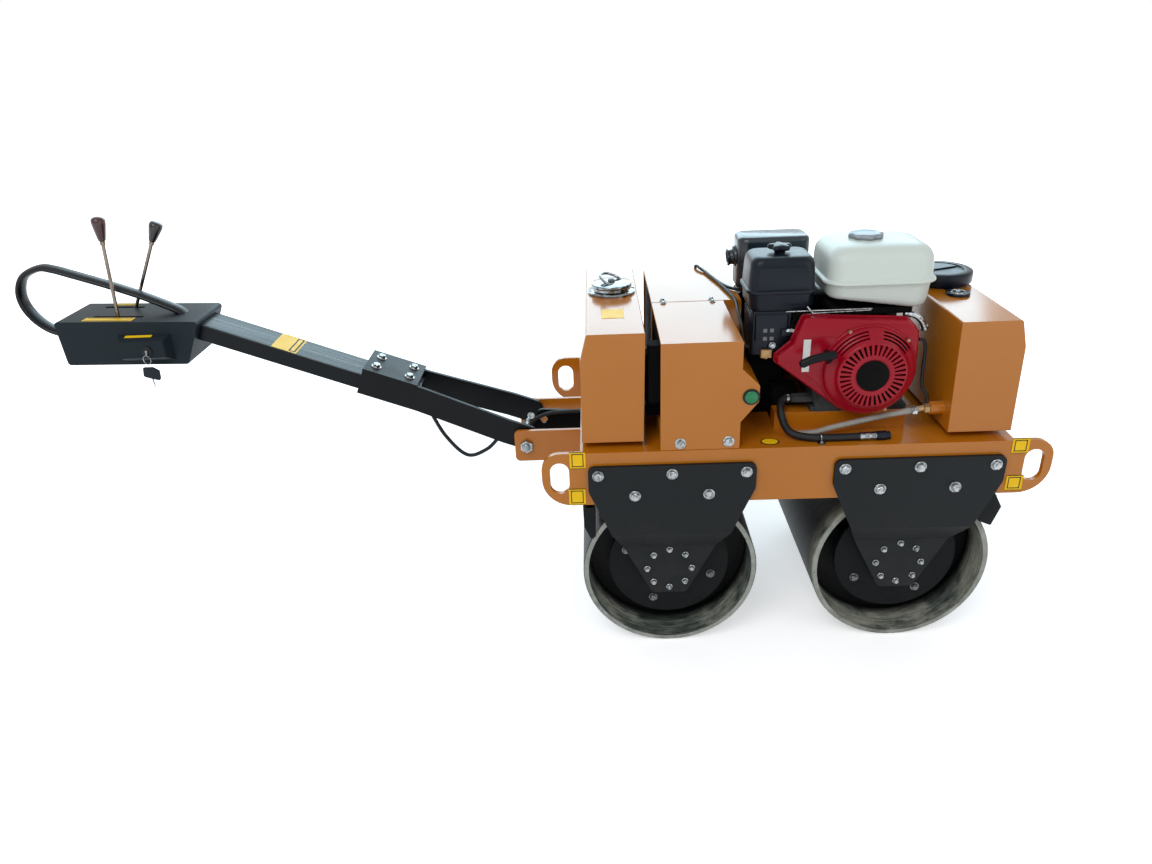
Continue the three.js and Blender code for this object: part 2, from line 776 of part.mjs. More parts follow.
// Deck plate, end walls, two ribs, the engine's rails and the handle's bracket plates: one weldment.
function deck() {
  const y = FRAME_WIDTH / 2 - SIDE_PLATE - SEAT;
  const x = DECK_LENGTH / 2;
  const pieces = [
    box(-x, x, -y, y, FRAME_TOP - DECK, FRAME_TOP),
    box(-x, END_WALL - x, -y, y, FRAME_BOTTOM, FRAME_TOP),
    box(x - END_WALL, x, -y, y, FRAME_BOTTOM, FRAME_TOP),
    box(-RIB_X - RIB, -RIB_X, -y, y, RIB_Z, FRAME_TOP),
    box(RIB_X, RIB_X + RIB, -y, y, RIB_Z, FRAME_TOP),
    box(RAIL_X0, RAIL_X1, -RAIL_Y, RAIL_W - RAIL_Y, FRAME_TOP - 1, RAIL_TOP),
    box(RAIL_X0, RAIL_X1, RAIL_REAR_Y - RAIL_W, RAIL_REAR_Y, FRAME_TOP - 1, RAIL_TOP),
  ];
  const bracket = rectangle(PIVOT_X - BRACKET_OVERHANG, -x + 1, BRACKET_BOTTOM, BRACKET_TOP);
  bracket[0][2] = 12;
  bracket[3][2] = 12;
  pieces.push(
    prismY(bracket, -BRACKET_Y, BRACKET - BRACKET_Y),
    prismY(bracket, BRACKET_Y - BRACKET, BRACKET_Y),
  );
  const pin = rod([PIVOT_X, -BRACKET_Y - 1, PIVOT_Z], [PIVOT_X, BRACKET_Y + 1, PIVOT_Z], PIVOT_BOLT_R + RUN);
  return cut(join(...pieces), pin);
}

// Plate between the arms that the lowered handle rests on, fixed to the frame's rear wall.
function handleStop() {
  const wall = -DECK_LENGTH / 2 - SEAT;
  const corners = [
    [wall, STOP_BOTTOM],
    [wall, STOP_TOP - STOP_DROP],
    [wall - STOP_LEDGE, STOP_TOP - STOP_DROP],
    [STOP_TIP_X, STOP_TOP, 14],
    [STOP_REAR_X, STOP_BOTTOM + STOP_FACE],
    [STOP_REAR_X, STOP_BOTTOM],
  ];
  const hole = rod(
    [STOP_HOLE_X, STOP_Y - STOP, STOP_HOLE_Z],
    [STOP_HOLE_X, STOP_Y + STOP, STOP_HOLE_Z],
    STOP_HOLE_R,
  );
  return cut(prismY(corners, STOP_Y - STOP / 2, STOP_Y + STOP / 2), hole);
}

// ---------------------------------------------------------------- tanks and covers

// The inner face of a tank leans a little, so its x depends on the height.
function tankInnerX(z) {
  const share = (z - FRAME_TOP - TANK_GAP) / (TANK_TOP - FRAME_TOP - TANK_GAP);
  return TANK_INNER_FOOT + (TANK_INNER_TOP - TANK_INNER_FOOT) * share;
}

// A tank on its two feet. The front one has a welded boss low on its inner face, for the sight hose.
function tank(end) {
  const corners = [
    [TANK_INNER_FOOT, FRAME_TOP + TANK_GAP],
    [TANK_OUTER_FOOT, FRAME_TOP + TANK_GAP],
    [TANK_OUTER_SHOULDER, TANK_SHOULDER_Z, 40],
    [TANK_OUTER_TOP, TANK_TOP, TANK_EDGE_R],
    [TANK_INNER_TOP, TANK_TOP, TANK_EDGE_R],
  ].map(([x, z, r]) => [end * x, z, r]);
  const foot = (y) => {
    const x = [end * (TANK_INNER_FOOT + 10), end * (TANK_OUTER_FOOT - 10)].sort((a, b) => a - b);
    return box(...x, y - TANK_FOOT_W / 2, y + TANK_FOOT_W / 2, FRAME_TOP + SEAT, FRAME_TOP + TANK_GAP + 1);
  };
  const body = join(prismY(corners, TANK_Y0, TANK_Y1), foot(-TANK_FOOT_Y), foot(TANK_FOOT_Y));
  if (end === REAR) return body;
  const x = tankInnerX(FITTING_Z);
  return join(body, rod([x + 1, FITTING_Y, FITTING_Z], [x - FITTING, FITTING_Y, FITTING_Z], FITTING_R));
}

// Round plated filler cap: a collar, a wide rim and a folding ring on top.
function rearCap() {
  const x = REAR * (TANK_INNER_TOP + TANK_OUTER_TOP) * 0.5;
  const z = TANK_TOP + SEAT;
  const body = revolveZ(
    [
      [0, z],
      [REAR_CAP_R - 6, z],
      [REAR_CAP_R - 6, z + 7],
      [REAR_CAP_R, z + 9],
      [REAR_CAP_R, z + 16],
      [REAR_CAP_R - 12, z + 20],
      [REAR_CAP_R * 0.5, z + 20],
      [REAR_CAP_R * 0.45, z + 26],
      [0, z + 26],
    ],
    x,
    REAR_CAP_Y,
    36,
  );
  const ring = new THREE.TorusGeometry(REAR_CAP_R * 0.5, 3, 6, 18);
  return join(body, solidOf(ring.rotateX(THREE.MathUtils.degToRad(12)).translate(x, REAR_CAP_Y, z + 27)));
}

// Large plastic screw cap, with the washer of its tether lying beside it.
function frontCap() {
  const x = TANK_OUTER_TOP - FRONT_CAP_R + 12;
  const z = TANK_TOP + SEAT;
  const profile = [
    [0, z],
    [FRONT_CAP_R - 10, z],
    [FRONT_CAP_R - 10, z + 8],
    [FRONT_CAP_R, z + 8],
    [FRONT_CAP_R, z + FRONT_CAP_H - 2],
    [FRONT_CAP_R - 2, z + FRONT_CAP_H],
    [FRONT_CAP_R - 12, z + FRONT_CAP_H],
    [FRONT_CAP_R - 16, z + FRONT_CAP_H - 6],
    [0, z + FRONT_CAP_H - 6],
  ];
  const cap = revolveZ(profile, x, FRONT_CAP_Y, 40);
  const half = TETHER_W / 2;
  const strap = box(x - half, x + half, TETHER_Y, FRONT_CAP_Y - FRONT_CAP_R + 14, z, z + 3);
  return join(cap, strap, rod([x, TETHER_Y, z], [x, TETHER_Y, z + 6], TETHER_R, TETHER_R - 1, 24));
}

// Hose barb screwed into the front tank's boss.
function barb() {
  const x = tankInnerX(FITTING_Z) - FITTING - SEAT;
  const at = (depth) => [x - depth, FITTING_Y, FITTING_Z];
  const nut = rod(at(0), at(BARB_NUT), FITTING_R - 2, FITTING_R - 2, 6);
  const end = new THREE.Vector3(...SIGHT_HOSE[0]);
  const ahead = end.clone().sub(new THREE.Vector3(...SIGHT_HOSE[1])).setLength(SEAT);
  const tail = end.add(ahead).toArray();
  return join(nut, rod(at(BARB_NUT / 2), tail, SIGHT_HOSE_R + 1, SIGHT_HOSE_R - 1, 12));
}

// A hood of folded sheet over the pump drive, open to the rear above its sill.
function hood(corners, frontX, y0, y1) {
  const inside = [COVER_REAR_X - 1, frontX - COVER_WALL, y0 + COVER_WALL, y1 - COVER_WALL];
  return cut(prismY(corners, y0, y1), box(...inside, COVER_SILL, COVER_TOP - COVER_WALL));
}

function rightCover() {
  const [bumpFoot, bumpLow, bumpHigh, bumpTop] = COVER_BUMP;
  const corners = [
    [COVER_REAR_X, FRAME_TOP + SEAT],
    [COVER_FRONT_X, FRAME_TOP + SEAT],
    [COVER_FRONT_X, bumpFoot],
    [COVER_BUMP_X, bumpLow, 8],
    [COVER_BUMP_X, bumpHigh, 8],
    [COVER_FRONT_X, bumpTop],
    [COVER_FRONT_X, COVER_TOP, 3],
    [COVER_REAR_X, COVER_TOP, 3],
  ];
  return hood(corners, COVER_FRONT_X, -COVER_Y, COVER_SPLIT_Y - COVER_SPLIT);
}

const leftCover = () =>
  hood(
    [
      [COVER_REAR_X, FRAME_TOP + SEAT],
      [LEFT_COVER_FRONT_X, FRAME_TOP + SEAT],
      [LEFT_COVER_FRONT_X, COVER_TOP, 3],
      [COVER_REAR_X, COVER_TOP, 3],
    ],
    LEFT_COVER_FRONT_X,
    COVER_SPLIT_Y + COVER_SPLIT,
    COVER_Y,
  );

// The belt guard stands on the deck against the left cover.
function beltGuard() {
  const tray = (inset) => {
    const foot = FRAME_TOP + SEAT + inset;
    const rear = LEFT_COVER_FRONT_X + SEAT + inset;
    const corners = rectangle(rear, GUARD_FRONT_X - inset, foot, GUARD_TOP - inset);
    corners[2][2] = GUARD_FRONT_R - inset;
    corners[3][2] = GUARD_REAR_R - inset;
    return corners;
  };
  return cut(
    prismY(tray(0), GUARD_Y0, GUARD_Y1, 8),
    prismY(tray(GUARD_WALL), GUARD_Y0 - 1, GUARD_Y1 - GUARD_WALL, 8),
  );
}

// ---------------------------------------------------------------- engine

// The point at a distance along the cylinder's axis, and so far above it across the axis.
function alongCylinder(distance, above = 0) {
  const tilt = THREE.MathUtils.degToRad(CYLINDER_TILT);
  const x = CRANK_X - distance * Math.cos(tilt) + above * Math.sin(tilt);
  const z = CRANK_Z + distance * Math.sin(tilt) + above * Math.cos(tilt);
  return [x, z];
}

// Crankcase on its feet, with the output shaft, the fuel tank's posts, the hose's drain boss,
// the finned barrel leaning to the rear with its head, and the exhaust port under the muffler.
function engineBlock() {
  const foot = RAIL_TOP + SEAT;
  const body = [
    [CRANK_X - CASE_HALF, foot],
    [CRANK_X + CASE_HALF, foot],
    [CRANK_X + CASE_HALF, CRANK_Z + 40, 30],
    [CRANK_X + 40, CRANK_Z + 102, 20],
    alongCylinder(CYLINDER_FROM, CYLINDER_SEAT_HALF),
    alongCylinder(CYLINDER_FROM, -CYLINDER_SEAT_HALF),
  ];
  const feet = [1 - RAIL_Y, RAIL_REAR_Y - RAIL_W].map((y) =>
    box(CRANK_X - CASE_FOOT_HALF, CRANK_X + CASE_FOOT_HALF, y, y + RAIL_W - 1, foot, foot + CASE_FOOT),
  );
  const cover = rod([CRANK_X, CASE_Y1 - 1, CRANK_Z], [CRANK_X, CASE_Y1 + CASE_COVER, CRANK_Z], CASE_COVER_R);
  const shaft = rod([CRANK_X, CASE_Y1, CRANK_Z], [CRANK_X, CASE_Y1 + SHAFT, CRANK_Z], SHAFT_R);
  const posts = FUEL_POSTS_X.map((x) =>
    box(x, x + FUEL_POST, FUEL_POST_Y0, FUEL_POST_Y1, CRANK_Z, FUEL_BOTTOM - SEAT),
  );
  const [, bossY, bossZ] = DRAIN_BOSS;
  const boss = rod([CRANK_X - CASE_HALF + 5, bossY, bossZ], DRAIN_BOSS, DRAIN_HOSE_R + 3, DRAIN_HOSE_R + 3, 6);
  const at = (distance) => {
    const [x, z] = alongCylinder(distance);
    return [x, CYLINDER_Y, z];
  };
  const from = CYLINDER_FROM - 1;
  const pitch = (CYLINDER_LENGTH - FIN) / (FINS - 1);
  const fins = Array.from({ length: FINS }, (_, i) =>
    rod(at(from + pitch * i), at(from + pitch * i + FIN), FIN_R),
  );
  const barrel = rod(at(from), at(from + CYLINDER_LENGTH), CYLINDER_R);
  const slab = (start, thickness, half, width) =>
    prismY(
      [
        alongCylinder(start, half),
        alongCylinder(start + thickness, half),
        alongCylinder(start + thickness, -half),
        alongCylinder(start, -half),
      ],
      CYLINDER_Y - width / 2,
      CYLINDER_Y + width / 2,
    );
  const seat = from + CYLINDER_LENGTH - 1;
  const head = slab(seat, HEAD, HEAD_HALF, HEAD_WIDTH);
  const rocker = slab(seat + HEAD - 1, ROCKER, ROCKER_HALF, ROCKER_WIDTH);
  const [portX, portZ] = alongCylinder(from + CYLINDER_LENGTH - PORT_R, PORT_ABOVE);
  const port = rod([portX, CYLINDER_Y, portZ], [portX, MUFFLER_Y - MUFFLER_D / 2 - SEAT, portZ], PORT_R);
  const crankcase = prismY(body, FAN_Y1 + SEAT, CASE_Y1);
  return join(crankcase, ...feet, cover, shaft, ...posts, boss, barrel, ...fins, head, rocker, port);
}

const shroudCorners = () => [
  [SHROUD_TOP_REAR_X, SHROUD_TOP_REAR],
  [SHROUD_TOP_FRONT_X, SHROUD_TOP_FRONT, 14],
  [...SHROUD_SHOULDER, 12],
  [CRANK_X + FAN_R, CRANK_Z + 20],
  [CRANK_X + FAN_R - 6, CRANK_Z - 40],
  [CRANK_X + 52, CRANK_Z - 96],
  [CRANK_X - 72, CRANK_Z - 86],
  [SHROUD_NOSE_X, SHROUD_NOSE_Z, 6],
  [SHROUD_NOSE_X, SHROUD_NOSE_Z + SHROUD_NOSE, 6],
  SHROUD_NECK,
];

// Pressed fan shroud: a hollow tray, closed towards the front, round below the crank, with a raised
// bead round the starter, open for the grip's stem, and the guide that leads the air over the cylinder.
function shroud() {
  const fan = (r, y0, y1) => rod([CRANK_X, y0, CRANK_Z], [CRANK_X, y1, CRANK_Z], r, r, 48);
  const [stemX, , stemZ] = GRIP_STEM;
  const bead = cut(
    fan(BEAD_R, FAN_Y0 - BEAD, FAN_Y0 + 1),
    fan(RECOIL_R + 2 * SEAT, FAN_Y0 - BEAD - 1, FAN_Y0 + 2),
    rod([stemX, FAN_Y0 - BEAD - 1, stemZ], [stemX, FAN_Y0, stemZ], GRIP_STEM_R[1] + 1),
  );
  const guide = prismY(AIR_GUIDE, FAN_Y1 - 1, AIR_GUIDE_Y);
  const shell = join(prismY(shroudCorners(), FAN_Y0, FAN_Y1), fan(FAN_R, FAN_Y0, FAN_Y1), bead, guide);
  return cut(shell, fan(RECOIL_R - 14, FAN_Y0 + FAN_WALL, FAN_Y1 + 1));
}

// Recoil starter's cover: a ring of radial air slots and arched louvres, sunk into a dished disc.
function recoilCover() {
  const back = FAN_Y0 - SEAT;
  const slope = (back - RECOIL_LIP - RECOIL_Y) / (RECOIL_R - 2 - RECOIL_FACE_R);
  const cone = (r) => RECOIL_Y + slope * (r - RECOIL_FACE_R);
  const body = revolveY(
    [
      [0, back],
      [RECOIL_R, back],
      [RECOIL_R - 2, back - RECOIL_LIP],
      [RECOIL_FACE_R, RECOIL_Y],
      [0, RECOIL_Y],
    ],
    CRANK_X,
    CRANK_Z,
    48,
  );
  const at = (r, angle, across = 0) => [
    CRANK_X + r * Math.cos(angle) - across * Math.sin(angle),
    CRANK_Z + r * Math.sin(angle) + across * Math.cos(angle),
  ];
  const slots = Array.from({ length: SLOTS }, (_, i) => {
    const angle = (2 * Math.PI * (i + 0.5)) / SLOTS;
    const half = AIR_SLOT_W / 2;
    const corners = [
      at(SLOT_R0, angle, half),
      at(SLOT_R1, angle, half),
      at(SLOT_R1, angle, -half),
      at(SLOT_R0, angle, -half),
    ];
    return prismY(corners, RECOIL_Y - 1, RECOIL_Y + AIR_SLOT_DEPTH);
  });
  const louvres = LOUVRE_ARCS.flatMap(([from, to]) =>
    LOUVRE_R.map((r) => {
      const angles = Array.from({ length: LOUVRE_STEPS + 1 }, (_, i) =>
        THREE.MathUtils.degToRad(from + ((to - from) * i) / LOUVRE_STEPS),
      );
      const inner = angles.map((angle) => at(r, angle));
      const outer = angles.map((angle) => at(r + LOUVRE_W, angle)).reverse();
      return prismY([...inner, ...outer], RECOIL_Y - 1, cone(r) + LOUVRE_DEPTH);
    }),
  );
  const groove = revolveY(
    [
      [BADGE_R, RECOIL_Y - 1],
      [BADGE_R + BADGE_GROOVE, RECOIL_Y - 1],
      [BADGE_R + BADGE_GROOVE, RECOIL_Y + BADGE_GROOVE],
      [BADGE_R, RECOIL_Y + BADGE_GROOVE],
    ],
    CRANK_X,
    CRANK_Z,
    36,
  );
  return cut(body, groove, ...slots, ...louvres);
}

// Starter grip: a rounded bar in front of the recoil cover, with its stem.
function grip() {
  const bar = sweep(GRIP_ROUTE, GRIP_W, GRIP_H, 8, 12);
  const [x, , z] = GRIP_STEM;
  return join(bar, rod(GRIP_STEM, [x, FAN_Y0 - SEAT, z], ...GRIP_STEM_R, 12));
}

function fuelTank() {
  const lip = FUEL_FLANGE;
  const body = loftZ(
    [
      [FUEL_BOTTOM, FUEL_W - 30, FUEL_D - 40, 26],
      [FUEL_BOTTOM + 10, FUEL_W - 14, FUEL_D - 20, 32],
      [FUEL_FLANGE_Z - 3, FUEL_W - 4, FUEL_D - 4, 38],
      [FUEL_FLANGE_Z - 3, FUEL_W + 2 * lip, FUEL_D + 2 * lip, 44],
      [FUEL_FLANGE_Z + 3, FUEL_W + 2 * lip, FUEL_D + 2 * lip, 44],
      [FUEL_FLANGE_Z + 3, FUEL_W, FUEL_D, 38],
      [FUEL_TOP - 30, FUEL_W - 3, FUEL_D - 3, 37],
      [FUEL_TOP - 15, FUEL_W - 12, FUEL_D - 12, 37],
      [FUEL_TOP - 5, FUEL_W - 34, FUEL_D - 34, 34],
      [FUEL_TOP, FUEL_W - 92, FUEL_D - 84, 28],
    ],
    FUEL_X,
    FUEL_Y,
  );
  const [slopeFrom, slopeTo] = FUEL_SLOPE_X;
  const under = [
    [FUEL_X - FUEL_W, FUEL_BOTTOM - 1],
    [slopeTo, FUEL_BOTTOM - 1],
    [slopeTo, FUEL_BOTTOM],
    [slopeFrom, FUEL_SHALLOW_BOTTOM],
    [FUEL_X - FUEL_W, FUEL_SHALLOW_BOTTOM],
  ];
  return cut(body, prismY(under, FUEL_Y - FUEL_D, FUEL_Y + FUEL_D));
}

// Filler cap with finger hollows round its rim.
function fuelCap() {
  const foot = FUEL_TOP + SEAT;
  const top = FUEL_TOP + FUEL_CAP_H;
  const hollows = Array.from({ length: FUEL_CAP_LOBES }, (_, i) => {
    const angle = (2 * Math.PI * i) / FUEL_CAP_LOBES;
    const x = FUEL_CAP_X + (FUEL_CAP_R + 2) * Math.cos(angle);
    const y = FUEL_Y + (FUEL_CAP_R + 2) * Math.sin(angle);
    return rod([x, y, foot + 4], [x, y, top + 1], FUEL_CAP_HOLLOW_R, FUEL_CAP_HOLLOW_R, 10);
  });
  const disc = rod([FUEL_CAP_X, FUEL_Y, foot], [FUEL_CAP_X, FUEL_Y, top], FUEL_CAP_R, FUEL_CAP_R - 2, 32);
  return cut(disc, ...hollows);
}

// Air cleaner with its wing knob, on the carburettor's panel beside the cylinder.
function airCleaner() {
  const body = loftZ(
    [
      [AIR_BOTTOM, AIR_W - 26, AIR_D - 26, 14],
      [AIR_BOTTOM + 14, AIR_W - 6, AIR_D - 6, 22],
      [AIR_SPLIT - 3, AIR_W - 2, AIR_D - 2, 24],
      [AIR_SPLIT - 3, AIR_W + 8, AIR_D + 8, 28],
      [AIR_SPLIT + 3, AIR_W + 8, AIR_D + 8, 28],
      [AIR_SPLIT + 3, AIR_W, AIR_D, 24],
      [AIR_TOP - 12, AIR_W - 10, AIR_D - 10, 24],
      [AIR_TOP - 3, AIR_W - 18, AIR_D - 18, 22],
      [AIR_TOP, AIR_W - 30, AIR_D - 30, 18],
    ],
    AIR_X,
    AIR_Y,
  );
  const wing = AIR_TOP + WING_FROM;
  const neck = rod([AIR_X, AIR_Y, AIR_TOP - 1], [AIR_X, AIR_Y, wing + WING], WING_NECK_R, WING_RING_R - 3, 16);
  const lobes = Array.from({ length: WING_LOBES }, (_, i) => {
    const angle = (2 * Math.PI * (i + 0.25)) / WING_LOBES;
    const x = AIR_X + WING_RING_R * Math.cos(angle);
    const y = AIR_Y + WING_RING_R * Math.sin(angle);
    return rod([x, y, wing], [x, y, wing + WING], WING_LOBE_R, WING_LOBE_R - 1, 12);
  });
  const [throatX0, throatX1, throatY0, throatZ] = AIR_THROAT;
  const throat = box(throatX0, throatX1, throatY0, CYLINDER_Y - FIN_R - SEAT, throatZ, AIR_BOTTOM + 1);
  return join(body, neck, ...lobes, throat);
}

// Muffler in its guard, with air slots across the guard's top and the outlet pointing to the rear.
function muffler() {
  const body = loftZ(
    [
      [MUFFLER_BOTTOM, MUFFLER_W - 20, MUFFLER_D - 20, 20],
      [MUFFLER_BOTTOM + 10, MUFFLER_W, MUFFLER_D, 26],
      [MUFFLER_TOP - 14, MUFFLER_W, MUFFLER_D, 26],
      [MUFFLER_TOP - 4, MUFFLER_W - 10, MUFFLER_D - 10, 24],
      [MUFFLER_TOP, MUFFLER_W - 26, MUFFLER_D - 26, 18],
    ],
    MUFFLER_X,
    MUFFLER_Y,
  );
  const x = MUFFLER_X - MUFFLER_W / 2;
  const mouth = [x - OUTLET, MUFFLER_Y, OUTLET_END_Z];
  const outlet = rod([x + 6, MUFFLER_Y, OUTLET_Z], mouth, OUTLET_R, OUTLET_END_R, 16);
  const slots = Array.from({ length: GUARD_SLOTS }, (_, i) => {
    const middle = MUFFLER_X + (i - (GUARD_SLOTS - 1) / 2) * GUARD_SLOT_PITCH;
    const y = [MUFFLER_Y - GUARD_SLOT_LENGTH / 2, MUFFLER_Y + GUARD_SLOT_LENGTH / 2];
    const z = [MUFFLER_TOP - GUARD_SLOT_DEPTH, MUFFLER_TOP + 1];
    return box(middle - GUARD_SLOT_W / 2, middle + GUARD_SLOT_W / 2, ...y, ...z);
  });
  return cut(join(body, outlet), ...slots);
}

// ---------------------------------------------------------------- handle

const BRACKET_INNER = BRACKET_Y - BRACKET;
const ARM_OUTER = BRACKET_INNER - CLEAR; // at the pivot
const SLEEVE_OUTER = TUBE_W / 2 + SEAT + ARM; // beside the tube

// Two arms that hold the tube between them and spread to the pivot, tied by plates above and below.
function fork() {
  const arm = (side) => {
    const plan = [
      [-SLEEVE_TO, SLEEVE_OUTER],
      [-SPLAY_FROM, SLEEVE_OUTER],
      [-SPLAY_TO, ARM_OUTER],
      [ARM_FRONT, ARM_OUTER],
      [ARM_FRONT, ARM_OUTER - ARM],
      [-SPLAY_TO, ARM_OUTER - ARM],
      [-SPLAY_FROM, SLEEVE_OUTER - ARM],
      [-SLEEVE_TO, SLEEVE_OUTER - ARM],
    ].map(([x, y]) => [x, side * y]);
    const face = [
      [-SLEEVE_TO, -ARM_BELOW],
      [ARM_FRONT, -ARM_BELOW, 18],
      [ARM_FRONT, ARM_ABOVE, 26],
      [-SLEEVE_TO, ARM_ABOVE],
    ];
    const blank = prismZ(plan, -ARM_BELOW, ARM_ABOVE).intersect(prismY(face, -FRAME_WIDTH, FRAME_WIDTH));
    return cut(blank, rod([0, -BRACKET_Y, 0], [0, BRACKET_Y, 0], PIVOT_BOLT_R + RUN));
  };
  const plate = (z0, z1, y) => box(-SLEEVE_TO, -CLAMP_FROM, -y, y, z0, z1);
  const lid = plate(ARM_ABOVE - 0.5, ARM_ABOVE + CLAMP, SLEEVE_OUTER + CLAMP_OVERHANG);
  const sole = plate(-ARM_BELOW, TUBE_ABOVE - ARM_BELOW - SEAT, SLEEVE_OUTER - ARM / 2);
  return join(arm(RIGHT), arm(LEFT), lid, sole);
}

// Rectangular tube, open at both ends, lying low between the arms.
const TUBE_Z = TUBE_ABOVE - ARM_BELOW + TUBE_H / 2;
function handleTube() {
  const skin = rectangle(-TUBE_W / 2, TUBE_W / 2, TUBE_Z - TUBE_H / 2, TUBE_Z + TUBE_H / 2, 5);
  const bore = rectangle(
    -TUBE_W / 2 + TUBE_WALL,
    TUBE_W / 2 - TUBE_WALL,
    TUBE_Z - TUBE_H / 2 + TUBE_WALL,
    TUBE_Z + TUBE_H / 2 - TUBE_WALL,
    2,
  );
  return cut(prismX(skin, -TUBE_TO, -TUBE_FROM), prismX(bore, -TUBE_TO - 1, 1 - TUBE_FROM));
}

// A piece built level at the machine's own place, brought into the tilted handle's frame.
const HANDLE_UNTILT = new THREE.Matrix4()
  .makeRotationY(-THREE.MathUtils.degToRad(HANDLE_SLOPE))
  .multiply(new THREE.Matrix4().makeTranslation(-PIVOT_X, 0, -PIVOT_Z));
function onHandle(solid) {
  return solidOf(geometryOf(solid).applyMatrix4(HANDLE_UNTILT));
}

// The tube's outside, with a little room round it, at the machine's own place.
function tubeRoom() {
  const grown = rectangle(
    -TUBE_W / 2 - SEAT,
    TUBE_W / 2 + SEAT,
    TUBE_Z - TUBE_H / 2 - SEAT,
    TUBE_Z + TUBE_H / 2 + SEAT,
    5,
  );
  const retilt = HANDLE_UNTILT.clone().invert();
  return solidOf(geometryOf(prismX(grown, -TUBE_TO - SEAT, -TUBE_FROM)).applyMatrix4(retilt));
}

// The control box's side outline, pushed out all round by a margin.
const boxCorners = (margin = 0) => [
  [BOX_REAR_X - margin, BOX_TOP_REAR + margin, BOX_CORNER_R],
  [BOX_FRONT_X + 2 * margin, BOX_TOP_FRONT + margin, BOX_CORNER_R],
  [BOX_FOOT_FRONT_X + 2 * margin, BOX_BOTTOM_FRONT - margin, BOX_CORNER_R],
  [BOX_FOOT_REAR_X - margin, BOX_BOTTOM_REAR - margin, BOX_CORNER_R],
];

// Height of the box's sloping top.
const boxTop = (x) =>
  BOX_TOP_REAR + ((BOX_TOP_FRONT - BOX_TOP_REAR) * (x - BOX_REAR_X)) / (BOX_FRONT_X - BOX_REAR_X);

const LEVERS = [
  ["right", RIGHT_LEVER],
  ["left", LEFT_LEVER],
];

// Closed housing with two deep lever slots in its top and a switch housing on its right side.
function controlBox() {
  const y = BOX_W / 2;
  const slots = LEVERS.map(([, [x0, x1, slotY, footX]]) =>
    box(x0, x1, slotY - SLOT_W / 2, slotY + SLOT_W / 2, boxTop(footX) - SLOT_DEPTH, BOX_TOP_REAR + 1),
  );
  const [foot, low, high, top] = KEY_HOUSING_Z;
  const section = [
    [1 - y, top],
    [-y, top],
    [-y - KEY_HOUSING, high],
    [-y - KEY_HOUSING, low],
    [-y, foot],
    [1 - y, foot],
  ];
  const plan = [
    [KEY_HOUSING_X0, 1 - y],
    [KEY_HOUSING_X0, -y],
    [KEY_HOUSING_X0 + KEY_HOUSING_LEAN, -y - KEY_HOUSING],
    [KEY_HOUSING_X1 - KEY_HOUSING_LEAN, -y - KEY_HOUSING],
    [KEY_HOUSING_X1, -y],
    [KEY_HOUSING_X1, 1 - y],
  ];
  const housing = prismX(section, KEY_HOUSING_X0, KEY_HOUSING_X1).intersect(prismZ(plan, foot, top));
  return join(cut(prismY(boxCorners(), -y, y), ...slots, tubeRoom()), housing);
}

// Rod standing on the floor of its slot, with its knob on top.
function lever([, , y, footX, knobX, knobFoot, knobTop]) {
  const top = boxTop(footX);
  const floor = top - SLOT_DEPTH + SEAT;
  const lean = (knobX - footX) / (knobFoot - top);
  const at = (z) => [footX + lean * (z - top), y, z];
  const shaft = rod(at(floor - LEVER_R), at(knobFoot + 5), LEVER_R, LEVER_R, 12);
  const knob = rod(at(knobFoot), at(knobTop), KNOB_FOOT_R, KNOB_TOP_R, 20);
  return cut(join(shaft, knob), box(footX - 99, footX + 99, -BOX_W, BOX_W, floor - SLOT_DEPTH, floor));
}

// The loop starts on the box's top and ends at its rear wall, cut to fit both.
function loopHandle() {
  const bar = sweep(
    LOOP_ROUTE.map(([x, z]) => [x, 0, z]),
    LOOP_W,
    LOOP_H,
    LOOP_STEPS,
    12,
  );
  return cut(bar, prismY(boxCorners(SEAT), -BOX_W, BOX_W));
}

// ---------------------------------------------------------------- assembly

const ENDS = [
  ["rear", REAR, REAR_BUFFER_ANGLE],
  ["front", FRONT, FRONT_BUFFER_ANGLE],
];
const SIDES = [
  ["right", RIGHT],
  ["left", LEFT],
];

add("deck", deck(), ORANGE);
for (const [sideName, side] of SIDES) add(`side_frame_${sideName}`, sideFrame(side), ORANGE);
for (const [endName, end, angle] of ENDS) {
  const x = (end * WHEELBASE) / 2;
  add(`${endName}_drum`, drum(x), DRUM_STEEL);
  add(`${endName}_scraper`, scraper(end), BLACK);
  for (const [sideName, side] of SIDES) {
    add(`${endName}_drum_disc_${sideName}`, endDisc(x, side, angle), BLACK);
    add(`${endName}_hub_${sideName}`, hub(x, side), BLACK);
    add(`${endName}_carrier_${sideName}`, carrier(x, side), BLACK);
  }
}
add("rear_tank", tank(REAR), ORANGE);
add("rear_tank_cap", rearCap(), CHROME);
add("front_tank", tank(FRONT), ORANGE);
add("front_tank_cap", frontCap(), BLACK_PLASTIC);
add("tank_barb", barb(), ZINC);
add("handle_stop", handleStop(), BLACK);
add("drain_hose", hose(DRAIN_HOSE, DRAIN_HOSE_R, DRAIN_HOSE_STEPS), RUBBER);
add("sight_hose", hose(SIGHT_HOSE, SIGHT_HOSE_R, SIGHT_HOSE_STEPS), CLEAR_HOSE);
add("vent_hose", hose(VENT_HOSE, VENT_HOSE_R, VENT_HOSE_STEPS), RUBBER);
add("frame_cable", hose(FRAME_CABLE, CABLE_R, FRAME_CABLE_STEPS), RUBBER);
const controlCables = join(
  hose(THROTTLE_CABLE, CONTROL_CABLE_R, THROTTLE_CABLE_STEPS),
  hose(CHOKE_CABLE, CONTROL_CABLE_R, CHOKE_CABLE_STEPS),
);
add("control_cables", controlCables, RUBBER);
add("right_cover", rightCover(), ORANGE);
